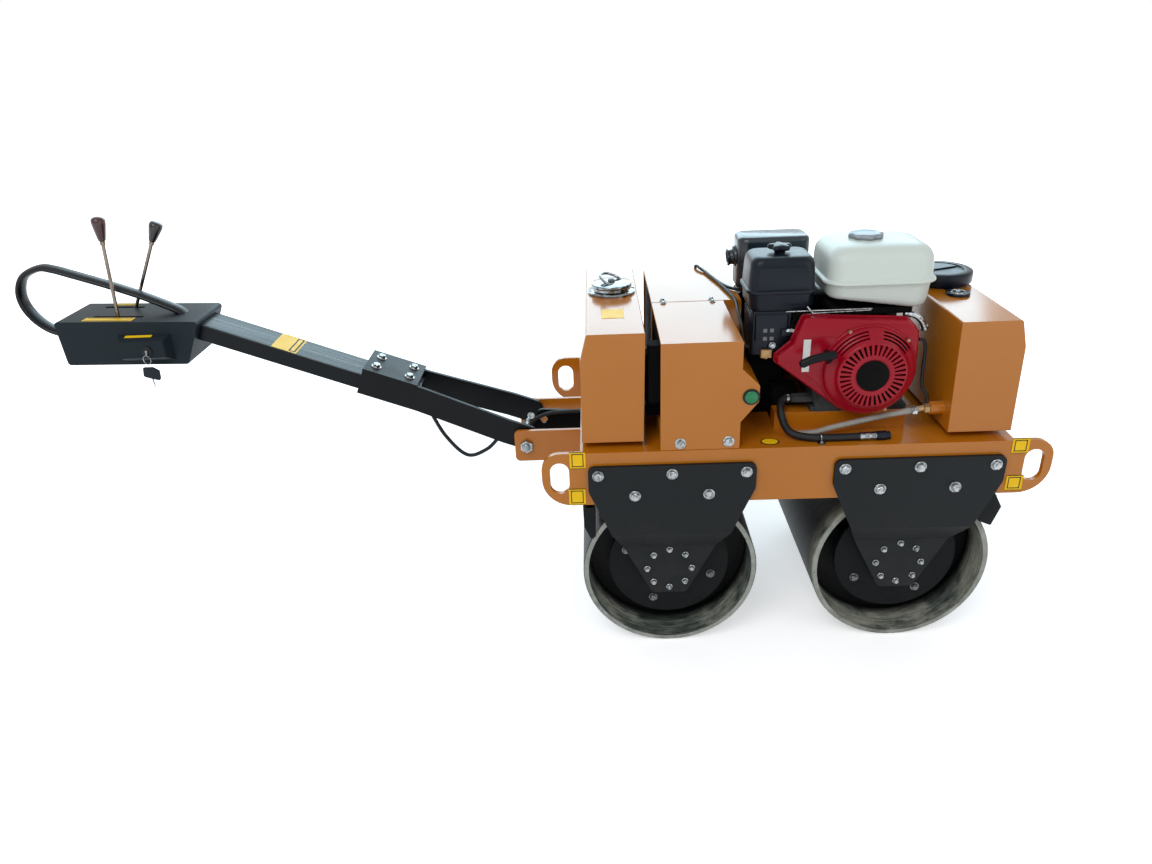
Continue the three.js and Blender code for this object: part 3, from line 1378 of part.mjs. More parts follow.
add("left_cover", leftCover(), ORANGE);
add("belt_guard", beltGuard(), BLACK);
add("engine_block", engineBlock(), CASTING);
add("fan_shroud", shroud(), RED);
add("recoil_cover", recoilCover(), RED);
add("starter_grip", grip(), BLACK_PLASTIC);
add("fuel_tank", fuelTank(), CREAM);
add("fuel_cap", fuelCap(), CASTING);
add("air_cleaner", airCleaner(), BLACK_PLASTIC);
add("muffler", muffler(), BLACK);

for (const [sideName, side] of SIDES) {
  const at = (y) => [PIVOT_X, side * y, PIVOT_Z];
  const head = rod(at(BRACKET_Y + SEAT), at(BRACKET_Y + PIVOT_HEAD), PIVOT_HEAD_R, PIVOT_HEAD_R, 6);
  const shank = rod(at(BRACKET_Y + PIVOT_HEAD / 2), at(ARM_OUTER - ARM - PIVOT_END), PIVOT_BOLT_R);
  add(`pivot_bolt_${sideName}`, join(head, shank), ZINC);
}

add("fork", fork(), BLACK, handle);
add("handle_tube", handleTube(), BLACK, handle);
add("control_box", onHandle(controlBox()), BLACK, handle);
add("loop_handle", onHandle(loopHandle()), BLACK, handle);
add("handle_cable", onHandle(hose(HANDLE_CABLE, CABLE_R, HANDLE_CABLE_STEPS)), RUBBER, handle);
for (const [sideName, row] of LEVERS) add(`lever_${sideName}`, onHandle(lever(row)), CHROME, handle);

// The origin goes to the middle of the outer box.
roller.updateMatrixWorld(true);
const extent = new THREE.Box3().setFromObject(roller, true);
roller.position.x = -(extent.min.x + extent.max.x) / 2;

const part = new THREE.Group();
part.add(roller);

export default part;
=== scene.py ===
from math import cos, pi, radians, sin, tan

import bmesh
import bpy
from mathutils import Matrix, Vector


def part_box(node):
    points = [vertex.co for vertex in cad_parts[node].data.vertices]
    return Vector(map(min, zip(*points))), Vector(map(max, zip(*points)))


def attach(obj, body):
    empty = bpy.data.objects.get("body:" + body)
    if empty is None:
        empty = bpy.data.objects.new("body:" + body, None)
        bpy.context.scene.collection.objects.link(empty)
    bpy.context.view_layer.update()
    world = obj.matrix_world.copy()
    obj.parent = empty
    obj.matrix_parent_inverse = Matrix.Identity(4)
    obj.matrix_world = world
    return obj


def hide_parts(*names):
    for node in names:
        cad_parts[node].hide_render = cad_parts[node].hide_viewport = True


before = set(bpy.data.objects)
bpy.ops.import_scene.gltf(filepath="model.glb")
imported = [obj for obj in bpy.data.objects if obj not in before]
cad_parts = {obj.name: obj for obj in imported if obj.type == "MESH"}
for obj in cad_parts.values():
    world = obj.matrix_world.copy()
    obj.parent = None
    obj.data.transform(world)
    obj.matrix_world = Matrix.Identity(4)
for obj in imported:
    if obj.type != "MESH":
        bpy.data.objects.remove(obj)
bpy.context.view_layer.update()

# ---------------------------------------------------------------- places, in millimetres of the machine

REAR_BOX, FRONT_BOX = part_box("rear_drum"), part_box("front_drum")
MID_X = (REAR_BOX[0][0] + FRONT_BOX[1][0]) / 2
AXLE_X = (FRONT_BOX[0][0] + FRONT_BOX[1][0]) / 2 * 1000 - MID_X * 1000
AXLE_Z = 212.24
PIVOT = Vector((-627.5, 0, 478))
SLOPE = radians(21)
UP, RIGHT, LEFT = (0, 0, 1), (0, -1, 0), (0, 1, 0)
UP_HANDLE = (sin(SLOPE), 0, cos(SLOPE))
SIDES = (("right", -1), ("left", 1))


def P(x, y, z):
    """A place in the machine's millimetres, as metres of the row frame."""
    return Vector((x / 1000 + MID_X, y / 1000, z / 1000))


def H(along, y, up):
    """A place on the tilted handle: along it from the pivot (negative is rearwards), and above its middle line."""
    x = PIVOT.x + along * cos(SLOPE) + up * sin(SLOPE)
    z = PIVOT.z - along * sin(SLOPE) + up * cos(SLOPE)
    return P(x, y, z)


# ---------------------------------------------------------------- camera, lights, floor

scene = bpy.context.scene
scene.view_settings.view_transform = "Standard"
camera = bpy.data.objects.new("camera", bpy.data.cameras.new("camera"))
scene.collection.objects.link(camera)
camera.data.lens = 26.80
camera.data.sensor_width = 36
camera.matrix_world = Matrix((
    (0.99913, 0.03128, 0.02762, -0.44197 + MID_X),
    (0.01161, 0.42730, -0.90403, -2.05483),
    (-0.04008, 0.90356, 0.42657, 1.43040),
    (0, 0, 0, 1),
))
scene.camera = camera


def light(name, place, target, size, power, color=(1, 1, 1), tall=None):
    data = bpy.data.lights.new(name, "AREA")
    data.shape = "RECTANGLE" if tall else "DISK"
    data.size = size
    data.size_y = tall or size
    data.energy = power
    data.color = color
    lamp = bpy.data.objects.new(name, data)
    lamp.location = place
    lamp.rotation_euler = (Vector(target) - Vector(place)).to_track_quat("-Z", "Y").to_euler()
    lamp.visible_camera = False
    scene.collection.objects.link(lamp)


light("key", (-1.4, -3.4, 4.4), (0.5, 0, 0.5), 3.0, 95)
light("fill", (3.4, -2.8, 2.2), (0.5, 0, 0.4), 2.5, 22)
light("window", (0.4, 5.0, 3.3), (0.4, 0, 0.7), 6.5, 240, (0.58, 0.86, 1.0), tall=3.4)


class Nodes:
    """A short way to build a node tree. N adds any node, and the other methods give a node's output."""

    def __init__(self, tree):
        self.tree = tree

    def N(self, kind, inputs=None, **attributes):
        node = self.tree.nodes.new(kind)
        for key, value in attributes.items():
            setattr(node, key, value)
        for key, value in (inputs or {}).items():
            if isinstance(value, bpy.types.NodeSocket):
                self.tree.links.new(value, node.inputs[key])
            else:
                node.inputs[key].default_value = value
        return node

    def place(self, kind="Object"):
        return self.N("ShaderNodeTexCoord").outputs[kind]

    def part(self, vector, index):
        return self.N("ShaderNodeSeparateXYZ", {0: vector}).outputs[index]

    def length(self, vector):
        return self.N("ShaderNodeVectorMath", {0: vector}, operation="LENGTH").outputs["Value"]

    def stretch(self, vector, scale):
        return self.N("ShaderNodeMapping", {"Vector": vector, "Scale": scale}).outputs[0]

    def math(self, operation, *values):
        return self.N("ShaderNodeMath", dict(enumerate(values)), operation=operation).outputs[0]

    def fade(self, value, start, end, low=0.0, high=1.0):
        """The value's way from start to end, as a number from low to high."""
        return self.N("ShaderNodeMapRange", {"Value": value, "From Min": start, "From Max": end,
                                             "To Min": low, "To Max": high}).outputs[0]

    def noise(self, vector, scale, detail, rough=0.5):
        return self.N("ShaderNodeTexNoise", {"Vector": vector, "Scale": scale, "Detail": detail,
                                             "Roughness": rough}).outputs[0]

    def blend(self, share, first, second):
        """Two colours by a share."""
        return self.N("ShaderNodeMix", {0: share, 6: first, 7: second}, data_type="RGBA").outputs[2]

    def between(self, share, first, second):
        """Two numbers by a share."""
        return self.N("ShaderNodeMix", {0: share, 2: first, 3: second}).outputs[0]

    def bump(self, height, strength, distance):
        return self.N("ShaderNodeBump", {"Height": height, "Strength": strength, "Distance": distance}).outputs[0]

    def camera_mix(self, usual, seen):
        """One shader for light that falls on things, and one for what the camera sees, also by way of a mirror."""
        path = self.N("ShaderNodeLightPath").outputs
        first = self.math("MAXIMUM", path["Is Camera Ray"], path["Is Glossy Ray"])
        share = self.math("MAXIMUM", first, path["Is Transmission Ray"])
        return self.N("ShaderNodeMixShader", {0: share, 1: usual.outputs[0], 2: seen.outputs[0]}).outputs[0]

    def paint(self, sockets):
        shader = self.N("ShaderNodeBsdfPrincipled", sockets)
        self.N("ShaderNodeOutputMaterial", {"Surface": shader.outputs[0]})


def nodes_of(owner):
    """The emptied node tree of a material or of the world."""
    owner.use_nodes = True
    owner.node_tree.nodes.clear()
    return Nodes(owner.node_tree)


def make_world():
    scene.world = bpy.data.worlds.new("studio")
    n = nodes_of(scene.world)
    plain = n.N("ShaderNodeBackground", {"Color": (0.92, 0.95, 1.0, 1), "Strength": 0.45})
    seen = n.N("ShaderNodeBackground", {"Color": (1, 1, 1, 1), "Strength": 1.0})
    n.N("ShaderNodeOutputWorld", {"Surface": n.camera_mix(plain, seen)})


def make_floor():
    """A pale floor that glows the more, the farther it lies from the machine."""
    mesh = bpy.data.meshes.new("floor")
    half = 30
    mesh.from_pydata([(-half, -half, 0), (half, -half, 0), (half, half, 0), (-half, half, 0)], [], [(0, 1, 2, 3)])
    floor = bpy.data.objects.new("floor", mesh)
    scene.collection.objects.link(floor)
    material = bpy.data.materials.new("floor")
    n = nodes_of(material)
    diffuse = n.N("ShaderNodeBsdfDiffuse", {"Color": (0.9, 0.9, 0.9, 1)})
    haze = n.fade(n.length(n.place()), 1.2, 4.0, 0.5, 1.2)
    glow = n.N("ShaderNodeEmission", {"Color": (1, 1, 1, 1), "Strength": haze})
    both = n.N("ShaderNodeAddShader", {0: diffuse.outputs[0], 1: glow.outputs[0]})
    n.N("ShaderNodeOutputMaterial", {"Surface": n.camera_mix(diffuse, both)})
    mesh.materials.append(material)


make_world()
make_floor()

# ---------------------------------------------------------------- materials


def srgb(r, g, b):
    def linear(c):
        c /= 255
        return c / 12.92 if c <= 0.04045 else ((c + 0.055) / 1.055) ** 2.4
    return linear(r), linear(g), linear(b), 1


DUST, DUSTY_ROUGH = srgb(150, 140, 118), 0.9
COAT_ROUGH = 0.08
# the last pair is how far up a face must look to carry the painted highlight on tops
PATCH_EDGE, SPECK_EDGE, SHEEN_FACING_UP = (0.42, 0.68), (0.42, 0.62), (0.5, 0.8)
GRAIN_DEPTH, CRUST_DEPTH = 0.0006, 0.002


def surface(name, color, patch, rough, scale, amount=0.35, patch_rough=None, metal=0.0, grain=None, coat=0.0,
            spec=0.25, streaks=(1, 1, 1), turn=0.0, painted_top_sheen=False, low_dust=None, transmission=0.0):
    """A painted, plastic or metal surface: two colours (0 to 255) that blend in soft patches of a scale and
    an amount. With the top-sheen switch set, the second colour shows only on what looks up, a painted highlight
    on the top. grain is the strength and the scale of the bump, and low_dust the height in metres below which
    dust gathers, and its share on the floor."""
    material = bpy.data.materials.new(name)
    n = nodes_of(material)
    place = n.place()
    turned = n.N("ShaderNodeMapping", {"Vector": place, "Rotation": (0, -turn, 0)}).outputs[0]
    cloud = n.noise(n.stretch(turned, streaks), scale, 6.0, 0.6)
    share = n.fade(cloud, *PATCH_EDGE, 0.0, amount)
    # where set, the second colour shows only on faces that look up: a painted highlight on the top
    if painted_top_sheen:
        share = n.math("MULTIPLY", share, n.fade(n.part(n.place("Normal"), 2), *SHEEN_FACING_UP))
    tone = n.blend(share, srgb(*color), srgb(*patch))
    roughness = n.fade(cloud, 0.3, 0.7, rough, patch_rough or min(1, rough * 1.35))
    if low_dust:
        top, dust_share = low_dust
        specks = n.fade(n.noise(place, 14.0, 9.0, 0.75), *SPECK_EDGE)
        dusty = n.math("MULTIPLY", n.fade(n.part(place, 2), top, 0.0, 0.0, dust_share), specks)
        tone = n.blend(dusty, tone, DUST)
        roughness = n.between(dusty, roughness, DUSTY_ROUGH)
    sockets = {"Base Color": tone, "Roughness": roughness, "Metallic": metal, "Coat Weight": coat,
               "Coat Roughness": COAT_ROUGH, "Specular IOR Level": spec, "Transmission Weight": transmission}
    if grain:
        strength, grain_scale = grain
        sockets["Normal"] = n.bump(n.noise(place, grain_scale, 3.0), strength, GRAIN_DEPTH)
    n.paint(sockets)
    return material


ORANGE = surface("orange_paint", (187, 112, 18), (174, 102, 16), 0.13, 3.0, patch_rough=0.22, grain=(0.10, 260),
                 coat=0.12, spec=0.36, low_dust=(0.62, 0.05))
BLACK = surface("black_paint", (11, 14, 17), (20, 23, 26), 0.34, 9.0, grain=(0.25, 420), spec=0.14)
CARRIER = surface("carrier_paint", (22, 26, 28), (29, 33, 35), 0.42, 7.0, grain=(0.35, 360), spec=0.18,
                  low_dust=(0.42, 0.05))
DISC = surface("disc_paint", (14, 18, 21), (19, 22, 25), 0.5, 10.0, grain=(0.4, 300), spec=0.12,
               low_dust=(0.40, 0.02))
LOOP_PAINT = surface("loop_paint", (11, 15, 19), (32, 38, 43), 0.26, 30.0, 0.5, grain=(0.2, 300))
# the pale second colour lies only on the tube's top, in streaks along it: a painted highlight
TUBE_PAINT_AND_SHEEN = surface("tube_paint_and_top_sheen", (13, 18, 23), (128, 138, 142), 0.34, 30.0, 0.75, 0.2, grain=(0.35, 300),
                     spec=0.14, streaks=(0.05, 3.4, 0.4), turn=SLOPE, painted_top_sheen=True)
BOX_PAINT = surface("box_paint", (21, 32, 38), (17, 27, 33), 0.42, 5.0, grain=(0.3, 600), spec=0.17)
ZINC = surface("zinc_plate", (176, 181, 183), (62, 64, 62), 0.24, 150, 0.9, metal=1.0, grain=(0.3, 700))
CHROME = surface("chrome", (146, 152, 156), (58, 62, 62), 0.08, 50, 0.8, metal=1.0)
ROD = surface("worn_rod", (128, 118, 106), (84, 74, 64), 0.22, 60, 0.7, metal=1.0, streaks=(1, 1, 0.2))
CASTING = surface("cast_aluminium", (66, 68, 69), (34, 34, 33), 0.6, 24, 0.7, metal=0.4, grain=(0.8, 500))
DARK_METAL = surface("dark_metal", (20, 35, 46), (32, 46, 54), 0.2, 20, 0.6, grain=(0.2, 500), spec=0.5)
ALLOY = surface("alloy_cap", (140, 146, 152), (112, 116, 120), 0.35, 40, 0.6, metal=0.6, grain=(0.3, 500))
STUD_STEEL = surface("stud_steel", (120, 124, 126), (30, 32, 33), 0.3, 150, 0.95, metal=0.9)
BOLT_BROWN = surface("passivated_bolt", (150, 116, 96), (96, 74, 60), 0.35, 60, metal=0.8)
RED = surface("red_shroud", (158, 2, 30), (132, 2, 25), 0.24, 8, grain=(0.15, 500))
CREAM = surface("cream_tank", (216, 225, 217), (204, 212, 206), 0.32, 5, grain=(0.06, 300), spec=0.3)
PLASTIC = surface("black_plastic", (11, 21, 32), (16, 26, 38), 0.28, 12, grain=(0.15, 900), spec=0.2)
RUBBER = surface("black_rubber", (22, 24, 26), (44, 45, 45), 0.42, 40, grain=(0.6, 900))
SIGHT = surface("clear_hose", (178, 176, 168), (140, 138, 130), 0.2, 18, 0.7, grain=(0.1, 400), transmission=0.25)
BRASS = surface("brass", (168, 138, 96), (140, 105, 60), 0.35, 60, metal=0.7)
YELLOW = surface("yellow_plate", (252, 204, 20), (228, 176, 22), 0.35, 30, grain=(0.1, 500))
INK = surface("black_edge", (24, 22, 20), (40, 36, 30), 0.45, 40, grain=(0.1, 400))
FADED = surface("faded_mark", (120, 124, 128), (90, 94, 98), 0.5, 60, grain=(0.1, 400))
LABEL = surface("white_label", (226, 226, 222), (200, 200, 196), 0.4, 40, grain=(0.1, 400))
GREEN = surface("green_button", (0, 126, 72), (0, 96, 56), 0.18, 30, grain=(0.05, 400), coat=0.3)
MAROON = surface("maroon_knob", (66, 22, 26), (48, 16, 18), 0.22, 14, grain=(0.05, 400), coat=0.6)
KNOB_BLACK = surface("black_knob", (32, 22, 24), (24, 16, 18), 0.22, 14, grain=(0.05, 400), coat=0.6)
# flat near-black for slot floors and for the dark gaps and hollows of the machine: painted shade
PAINTED_SHADE = surface("painted_shade_black", (12, 12, 13), (22, 21, 20), 0.7, 30, grain=(0.4, 400), spec=0.06)
BADGE = surface("badge_black", (10, 10, 10), (16, 15, 15), 0.5, 30, grain=(0.1, 400), spec=0.06)


# where the drum's looks change, its painted shade deep inside and on the rolling face too: metres from its middle
# plane, and metres from its axle
RIM_EDGE, INSIDE_EDGE, CRUST_EDGE = (0.2855, 0.2875), (0.196, 0.232), (0.235, 0.286)
ROLLING_EDGE = (0.2095, 0.2112)


def drum_material():
    """Worn rolled steel with pale dried concrete, thick inside the rims and thin on the rolling face. Deep inside the
    rims and on the rolling face the steel is darkened with painted shade.
    """
    material = bpy.data.materials.new("drum_steel")
    n = nodes_of(material)
    place = n.place()
    out = n.math("ABSOLUTE", n.part(place, 1))
    rim = n.fade(out, *RIM_EDGE)
    inside = n.fade(out, *INSIDE_EDGE)
    near_rim = n.fade(out, *CRUST_EDGE)
    apart = n.math("ADD", n.part(place, 0), -MID_X)
    front = n.fade(apart, -0.01, 0.01)
    along = n.math("SUBTRACT", n.math("ABSOLUTE", apart), AXLE_X / 1000)
    upward = n.math("SUBTRACT", n.part(place, 2), AXLE_Z / 1000)
    radius = n.length(n.N("ShaderNodeCombineXYZ", {0: along, 2: upward}).outputs[0])
    face = n.fade(radius, *ROLLING_EDGE)
    lines = n.fade(n.noise(n.stretch(place, (1, 7, 1)), 22.0, 8.0, 0.72), 0.36, 0.66)
    band = n.blend(lines, srgb(40, 45, 43), srgb(140, 148, 140))
    # near-black deep inside the rims, and a dark rolling face: painted shade over the steel's streaks
    shaded_deep = n.blend(inside, srgb(16, 17, 17), band)
    rolled_in_shade = n.blend(lines, srgb(16, 17, 16), srgb(52, 53, 50))
    steel_and_shade = n.blend(face, shaded_deep, rolled_in_shade)
    caked = n.math("ADD", n.noise(place, 5.5, 8.0, 0.62), n.math("MULTIPLY", front, 0.12))
    crust = n.math("MULTIPLY", n.fade(caked, 0.56, 0.66, 0.0, 0.85), n.between(face, inside, near_rim))
    crust_tone = n.blend(lines, srgb(122, 124, 112), srgb(184, 184, 168))
    worn = n.math("MULTIPLY", rim, n.fade(lines, 0.0, 1.0, 0.35, 0.9))
    tone = n.blend(worn, n.blend(crust, steel_and_shade, crust_tone), srgb(172, 174, 166))
    height = n.math("ADD", n.noise(place, 120.0, 5.0), crust)
    n.paint({"Base Color": tone, "Roughness": n.fade(crust, 0.0, 0.6, 0.5, 0.92),
             "Metallic": n.fade(crust, 0.0, 0.6, 0.25, 0.0), "Specular IOR Level": 0.25,
             "Normal": n.bump(height, 0.5, CRUST_DEPTH)})
    return material


DRUM = drum_material()

# ---------------------------------------------------------------- shapes


def frame_of(axis):
    """Two directions across an axis."""
    axis = Vector(axis).normalized()
    side = Vector((0, 0, 1)) if abs(axis.z) < 0.9 else Vector((1, 0, 0))
    u = side.cross(axis).normalized()
    return u, axis.cross(u).normalized(), axis


BEVEL_FROM, SHARP_FROM, FLAT_BELOW = radians(30), radians(34), radians(0.6)
WELD, DOUBLE = 0.00002, 0.000001


class Shape:
    """Closed forms gathered into one piece. Every place is in metres of the row frame, every radius in mm."""

    def __init__(self):
        self.bm = bmesh.new()

    def loft(self, rings, closed=False, mat=0):
        verts = [[self.bm.verts.new(p) for p in ring] for ring in rings]
        count = len(verts[0])
        last = len(verts) if closed else len(verts) - 1
        faces = []
        for i in range(last):
            a, b = verts[i], verts[(i + 1) % len(verts)]
            for j in range(count):
                k = (j + 1) % count
                faces.append(self.bm.faces.new((a[j], a[k], b[k], b[j])))
        if not closed:
            faces.append(self.bm.faces.new(verts[0][::-1]))
            faces.append(self.bm.faces.new(verts[-1]))
        for face in faces:
            face.material_index = mat

    def lathe(self, origin, axis, profile, n=24, mat=0, turn=0.0):
        """profile: [radius, height] in mm along the axis, open; it is capped where it doesn't reach the axis."""
        u, v, w = frame_of(axis)
        rings = []
        for r, h in profile:
            r = max(r, 0.02)
            rings.append([
                origin + w * (h / 1000)
                + (u * cos(turn + 2 * pi * j / n) + v * sin(turn + 2 * pi * j / n)) * (r / 1000)
                for j in range(n)
            ])
        self.loft(rings, mat=mat)

    def rod(self, a, b, r0, r1=None, n=16):
        self.lathe(a, b - a, [(r0, 0), (r1 or r0, (b - a).length * 1000)], n)

    def tube(self, points, r, n, width=None, normal=None):
        """A tube along a smooth curve through the points; width makes it oval across normal."""
        path = smooth_path(points)
        rings = []
        u = None
        for i, p in enumerate(path):
            ahead = (path[min(i + 1, len(path) - 1)] - path[max(i - 1, 0)]).normalized()
            if normal:
                u = Vector(normal)
            elif u is None:
                u = frame_of(ahead)[0]
            u = (u - ahead * u.dot(ahead)).normalized()
            v = ahead.cross(u)
            ru, rv = (width or r) / 1000, r / 1000
            rings.append([p + u * cos(2 * pi * j / n) * ru + v * sin(2 * pi * j / n) * rv
                          for j in range(n)])
        self.loft(rings)

    def prism(self, corners, direction, depth, mat=0, arcs=3):
        """corners: [place, radius in mm]; pushed along direction by depth mm."""
        ring = rounded(corners, arcs)
        push = Vector(direction).normalized() * (depth / 1000)
        area = sum((ring[i].cross(ring[(i + 1) % len(ring)]) for i in range(len(ring))), Vector())
        if area.dot(push) < 0:
            ring = ring[::-1]
        self.loft([ring, [p + push for p in ring]], mat=mat)

    def block(self, x0, x1, y0, y1, z0, z1, mat=0, r=0):
        corners = [(P(x0, y0, z0), r), (P(x1, y0, z0), r), (P(x1, y1, z0), r), (P(x0, y1, z0), r)]
        self.prism(corners, UP, z1 - z0, mat)

    def wavy(self, cx, cy, z, profile, lobes, n, shift=0.0, rise=1.0):
        """profile: [height, radius, wave] in mm; the radius waves around the upright axis."""
        rings = []
        for h, r, wave in profile:
            ring = []
            for k in range(n):
                a = 2 * pi * k / n
                rr = r + wave * cos(lobes * (a - shift))
                ring.append(P(cx + rr * cos(a), cy + rr * sin(a), z + h * rise))
            rings.append(ring)
        self.loft(rings)

    def bolt(self, place, axis, r, head, washer, turn=0.3):
        """A six-sided head of radius r on a washer, with the thread's end on it."""
        w = Vector(axis).normalized()
        if washer:
            self.lathe(place, w, [(washer, 0), (washer, 1.4), (washer - 0.6, 2)], 20)
        base = place + w * (0.0018 if washer else 0)
        self.lathe(base, w, [(r, 0), (r, head - 1.2), (r * 0.88, head)], 6, turn=turn)
        self.lathe(base + w * (head / 1000 - 0.0004), w, [(r * 0.62, 0), (r * 0.56, 1.0)], 16)

    def torus(self, centre, axis, big, small, n=28, m=8):
        u, v, w = frame_of(axis)
        rings = []
        for i in range(n):
            angle = 2 * pi * i / n
            out = u * cos(angle) + v * sin(angle)
            rings.append([centre + out * ((big + small * cos(2 * pi * j / m)) / 1000)
                          + w * (small * sin(2 * pi * j / m) / 1000) for j in range(m)])
        self.loft(rings, closed=True)

    def finish(self, name, materials, slot=None, body="frame", bevel=0.0, segments=2, angle=32, replaces=()):
        """The piece itself: its edges worn by bevel mm, and sharp above an angle in degrees."""
        bm = self.bm
        bmesh.ops.remove_doubles(bm, verts=bm.verts, dist=DOUBLE)
        bmesh.ops.recalc_face_normals(bm, faces=bm.faces)
        if bevel:
            edges = [e for e in bm.edges if len(e.link_faces) == 2 and e.calc_face_angle(0) > BEVEL_FROM]
            bmesh.ops.bevel(bm, geom=edges, offset=bevel / 1000, segments=segments, profile=0.6,
                            affect="EDGES", clamp_overlap=True)
        for face in bm.faces:
            face.smooth = True
        for edge in bm.edges:
            edge.smooth = not (len(edge.link_faces) == 2 and edge.calc_face_angle(0) > radians(angle))
        mesh = bpy.data.meshes.new(name)
        bm.to_mesh(mesh)
        bm.free()
        for material in materials if isinstance(materials, list) else [materials]:
            mesh.materials.append(material)
        piece = bpy.data.objects.new(name, mesh)
        scene.collection.objects.link(piece)
        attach(piece, body)
        if replaces:
            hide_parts(*replaces)


def smooth_path(points, per=6):
    """A Catmull-Rom curve through the points."""
    pts = [points[0] * 2 - points[1], *points, points[-1] * 2 - points[-2]]
    path = []
    for i in range(1, len(pts) - 2):
        a, b, c, d = pts[i - 1:i + 3]
        for k in range(per):
            t = k / per
            path.append(0.5 * (2 * b + (c - a) * t + (2 * a - 5 * b + 4 * c - d) * t * t
                               + (3 * b - a - 3 * c + d) * t ** 3))
    path.append(points[-1])
    return path


def route(*places):
    """Places in the machine's millimetres, for a tube's path."""
    return [P(*place) for place in places]


def rounded(corners, arcs=3):
    """A flat outline whose corners are rounded by their own radius in mm."""
    ring = []
    for i, (p, r) in enumerate(corners):
        if r <= 0:
            ring.append(p)
            continue
        back = (corners[i - 1][0] - p).normalized()
        ahead = (corners[(i + 1) % len(corners)][0] - p).normalized()
        half = back.angle(ahead) / 2
        cut = r / 1000 / tan(half)
        start, end = p + back * cut, p + ahead * cut
        centre = p + (back + ahead).normalized() * (r / 1000 / sin(half))
        a, b = start - centre, end - centre
        sweep = a.angle(b)
        for k in range(arcs + 1):
            t = k / arcs
            ring.append(centre + (a * sin((1 - t) * sweep) + b * sin(t * sweep)) / sin(sweep))
    return ring


def smoothing():
    """Smooth shading with sharp edges kept, for the frame's own pieces."""
    group = bpy.data.node_groups.new("smooth_by_angle", "GeometryNodeTree")
    group.interface.new_socket("Geometry", in_out="INPUT", socket_type="NodeSocketGeometry")
    group.interface.new_socket("Geometry", in_out="OUTPUT", socket_type="NodeSocketGeometry")
    n = Nodes(group)
    start = n.N("NodeGroupInput")
    faces = n.N("GeometryNodeSetShadeSmooth", {"Geometry": start.outputs[0], "Shade Smooth": True}, domain="FACE")
    corner = n.N("GeometryNodeInputMeshEdgeAngle").outputs[0]
    sharp = n.N("FunctionNodeCompare", {0: corner, 1: SHARP_FROM}, data_type="FLOAT", operation="GREATER_THAN")
    edges = n.N("GeometryNodeSetShadeSmooth", {"Geometry": faces.outputs[0], "Selection": sharp.outputs[0],
                                               "Shade Smooth": False}, domain="EDGE")
    n.N("NodeGroupOutput", {0: edges.outputs[0]})
    return group


SMOOTH = smoothing()


def dress(node, material, bevel):
    """The frame's own piece keeps its shape, and gets its material, smooth shading and worn corners."""
    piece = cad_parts[node]
    piece.data.materials.clear()
    piece.data.materials.append(material)
    weld = piece.modifiers.new("weld", "WELD")
    weld.merge_threshold = WELD
    flat = piece.modifiers.new("flat", "DECIMATE")
    flat.decimate_type = "DISSOLVE"
    flat.angle_limit = FLAT_BELOW
    if bevel:
        edge = piece.modifiers.new("edge", "BEVEL")
        edge.width = bevel / 1000
        edge.segments = 2
        edge.limit_method = "ANGLE"
        edge.angle_limit = SHARP_FROM
    smooth = piece.modifiers.new("smooth", "NODES")
    smooth.node_group = SMOOTH
    if bevel:
        even = piece.modifiers.new("even", "WEIGHTED_NORMAL")
        even.keep_sharp = True
        even.weight = 100


# ---------------------------------------------------------------- the frame's own pieces, dressed

DRESSED = [  # the node, its material, and how far its edges are worn, in mm
    ("deck", ORANGE, 1.2), ("handle_stop", BLACK, 0.8), ("engine_block", CASTING, 1.0), ("tank_barb", BRASS, 0.5),
    ("belt_guard", BLACK, 1.5), ("fork", BLACK, 1.2), ("handle_tube", TUBE_PAINT_AND_SHEEN, 1.5),
    ("control_box", BOX_PAINT, 2.0),
]
for side, sign in SIDES:
    DRESSED += [(f"side_frame_{side}", ORANGE, 2.2), (f"{side}_cover", ORANGE, 2.2),
                (f"pivot_bolt_{side}", ZINC, 0.8)]
    for end in ("rear", "front"):
        DRESSED += [(f"{end}_drum_disc_{side}", DISC, 1.0), (f"{end}_hub_{side}", DISC, 1.0),
                    (f"{end}_carrier_{side}", CARRIER, 1.2)]
for end in ("rear", "front"):
    DRESSED += [(f"{end}_tank", ORANGE, 3.0), (f"{end}_scraper", BLACK, 1.0), (f"{end}_drum", DRUM, 0)]
for node, material, bevel in DRESSED:
    dress(node, material, bevel)

# ---------------------------------------------------------------- fasteners

CARRIER_Y = 328.3
HUB_Y, HUB_CIRCLE = 278, 54.7
DISC_Y, STUD_CIRCLE = 250, 112


def round_axle(end, sign, y, r, angle):
    """A place at a radius from a drum's axle."""
    return P(end * AXLE_X + r * cos(angle), sign * y, AXLE_Z + r * sin(angle))


for side, sign in SIDES:
    bolts = Shape()
    out = (0, sign, 0)
    for end in (-1, 1):
        for dx, z in ((-169, 502), (0, 502), (169, 502), (-85, 447.5), (85, 447.5)):
            place = P(end * AXLE_X + dx, sign * CARRIER_Y, z)
            bolts.bolt(place, out, r=10.5, head=7, washer=13.5, turn=0.2 + dx * 0.01)
        for k in range(8):
            angle = radians(45 * k)
            place = round_axle(end, sign, HUB_Y, HUB_CIRCLE, angle)
            bolts.bolt(place, out, r=6.5, head=5.5, washer=8, turn=angle)
    bolts.finish(f"carrier_bolts_{side}", ZINC, "zinc")
    for end, body, first in ((-1, "rear_drum", -20), (1, "front_drum", -57)):
        studs = Shape()
        for k in range(4):
            angle = radians(first + 90 * k)
            place = round_axle(end, sign, DISC_Y, STUD_CIRCLE, angle)
            studs.bolt(place, out, r=8.5, head=6, washer=11.5, turn=angle)
        studs.finish(f"{body}_studs_{side}", STUD_STEEL, "zinc", body)

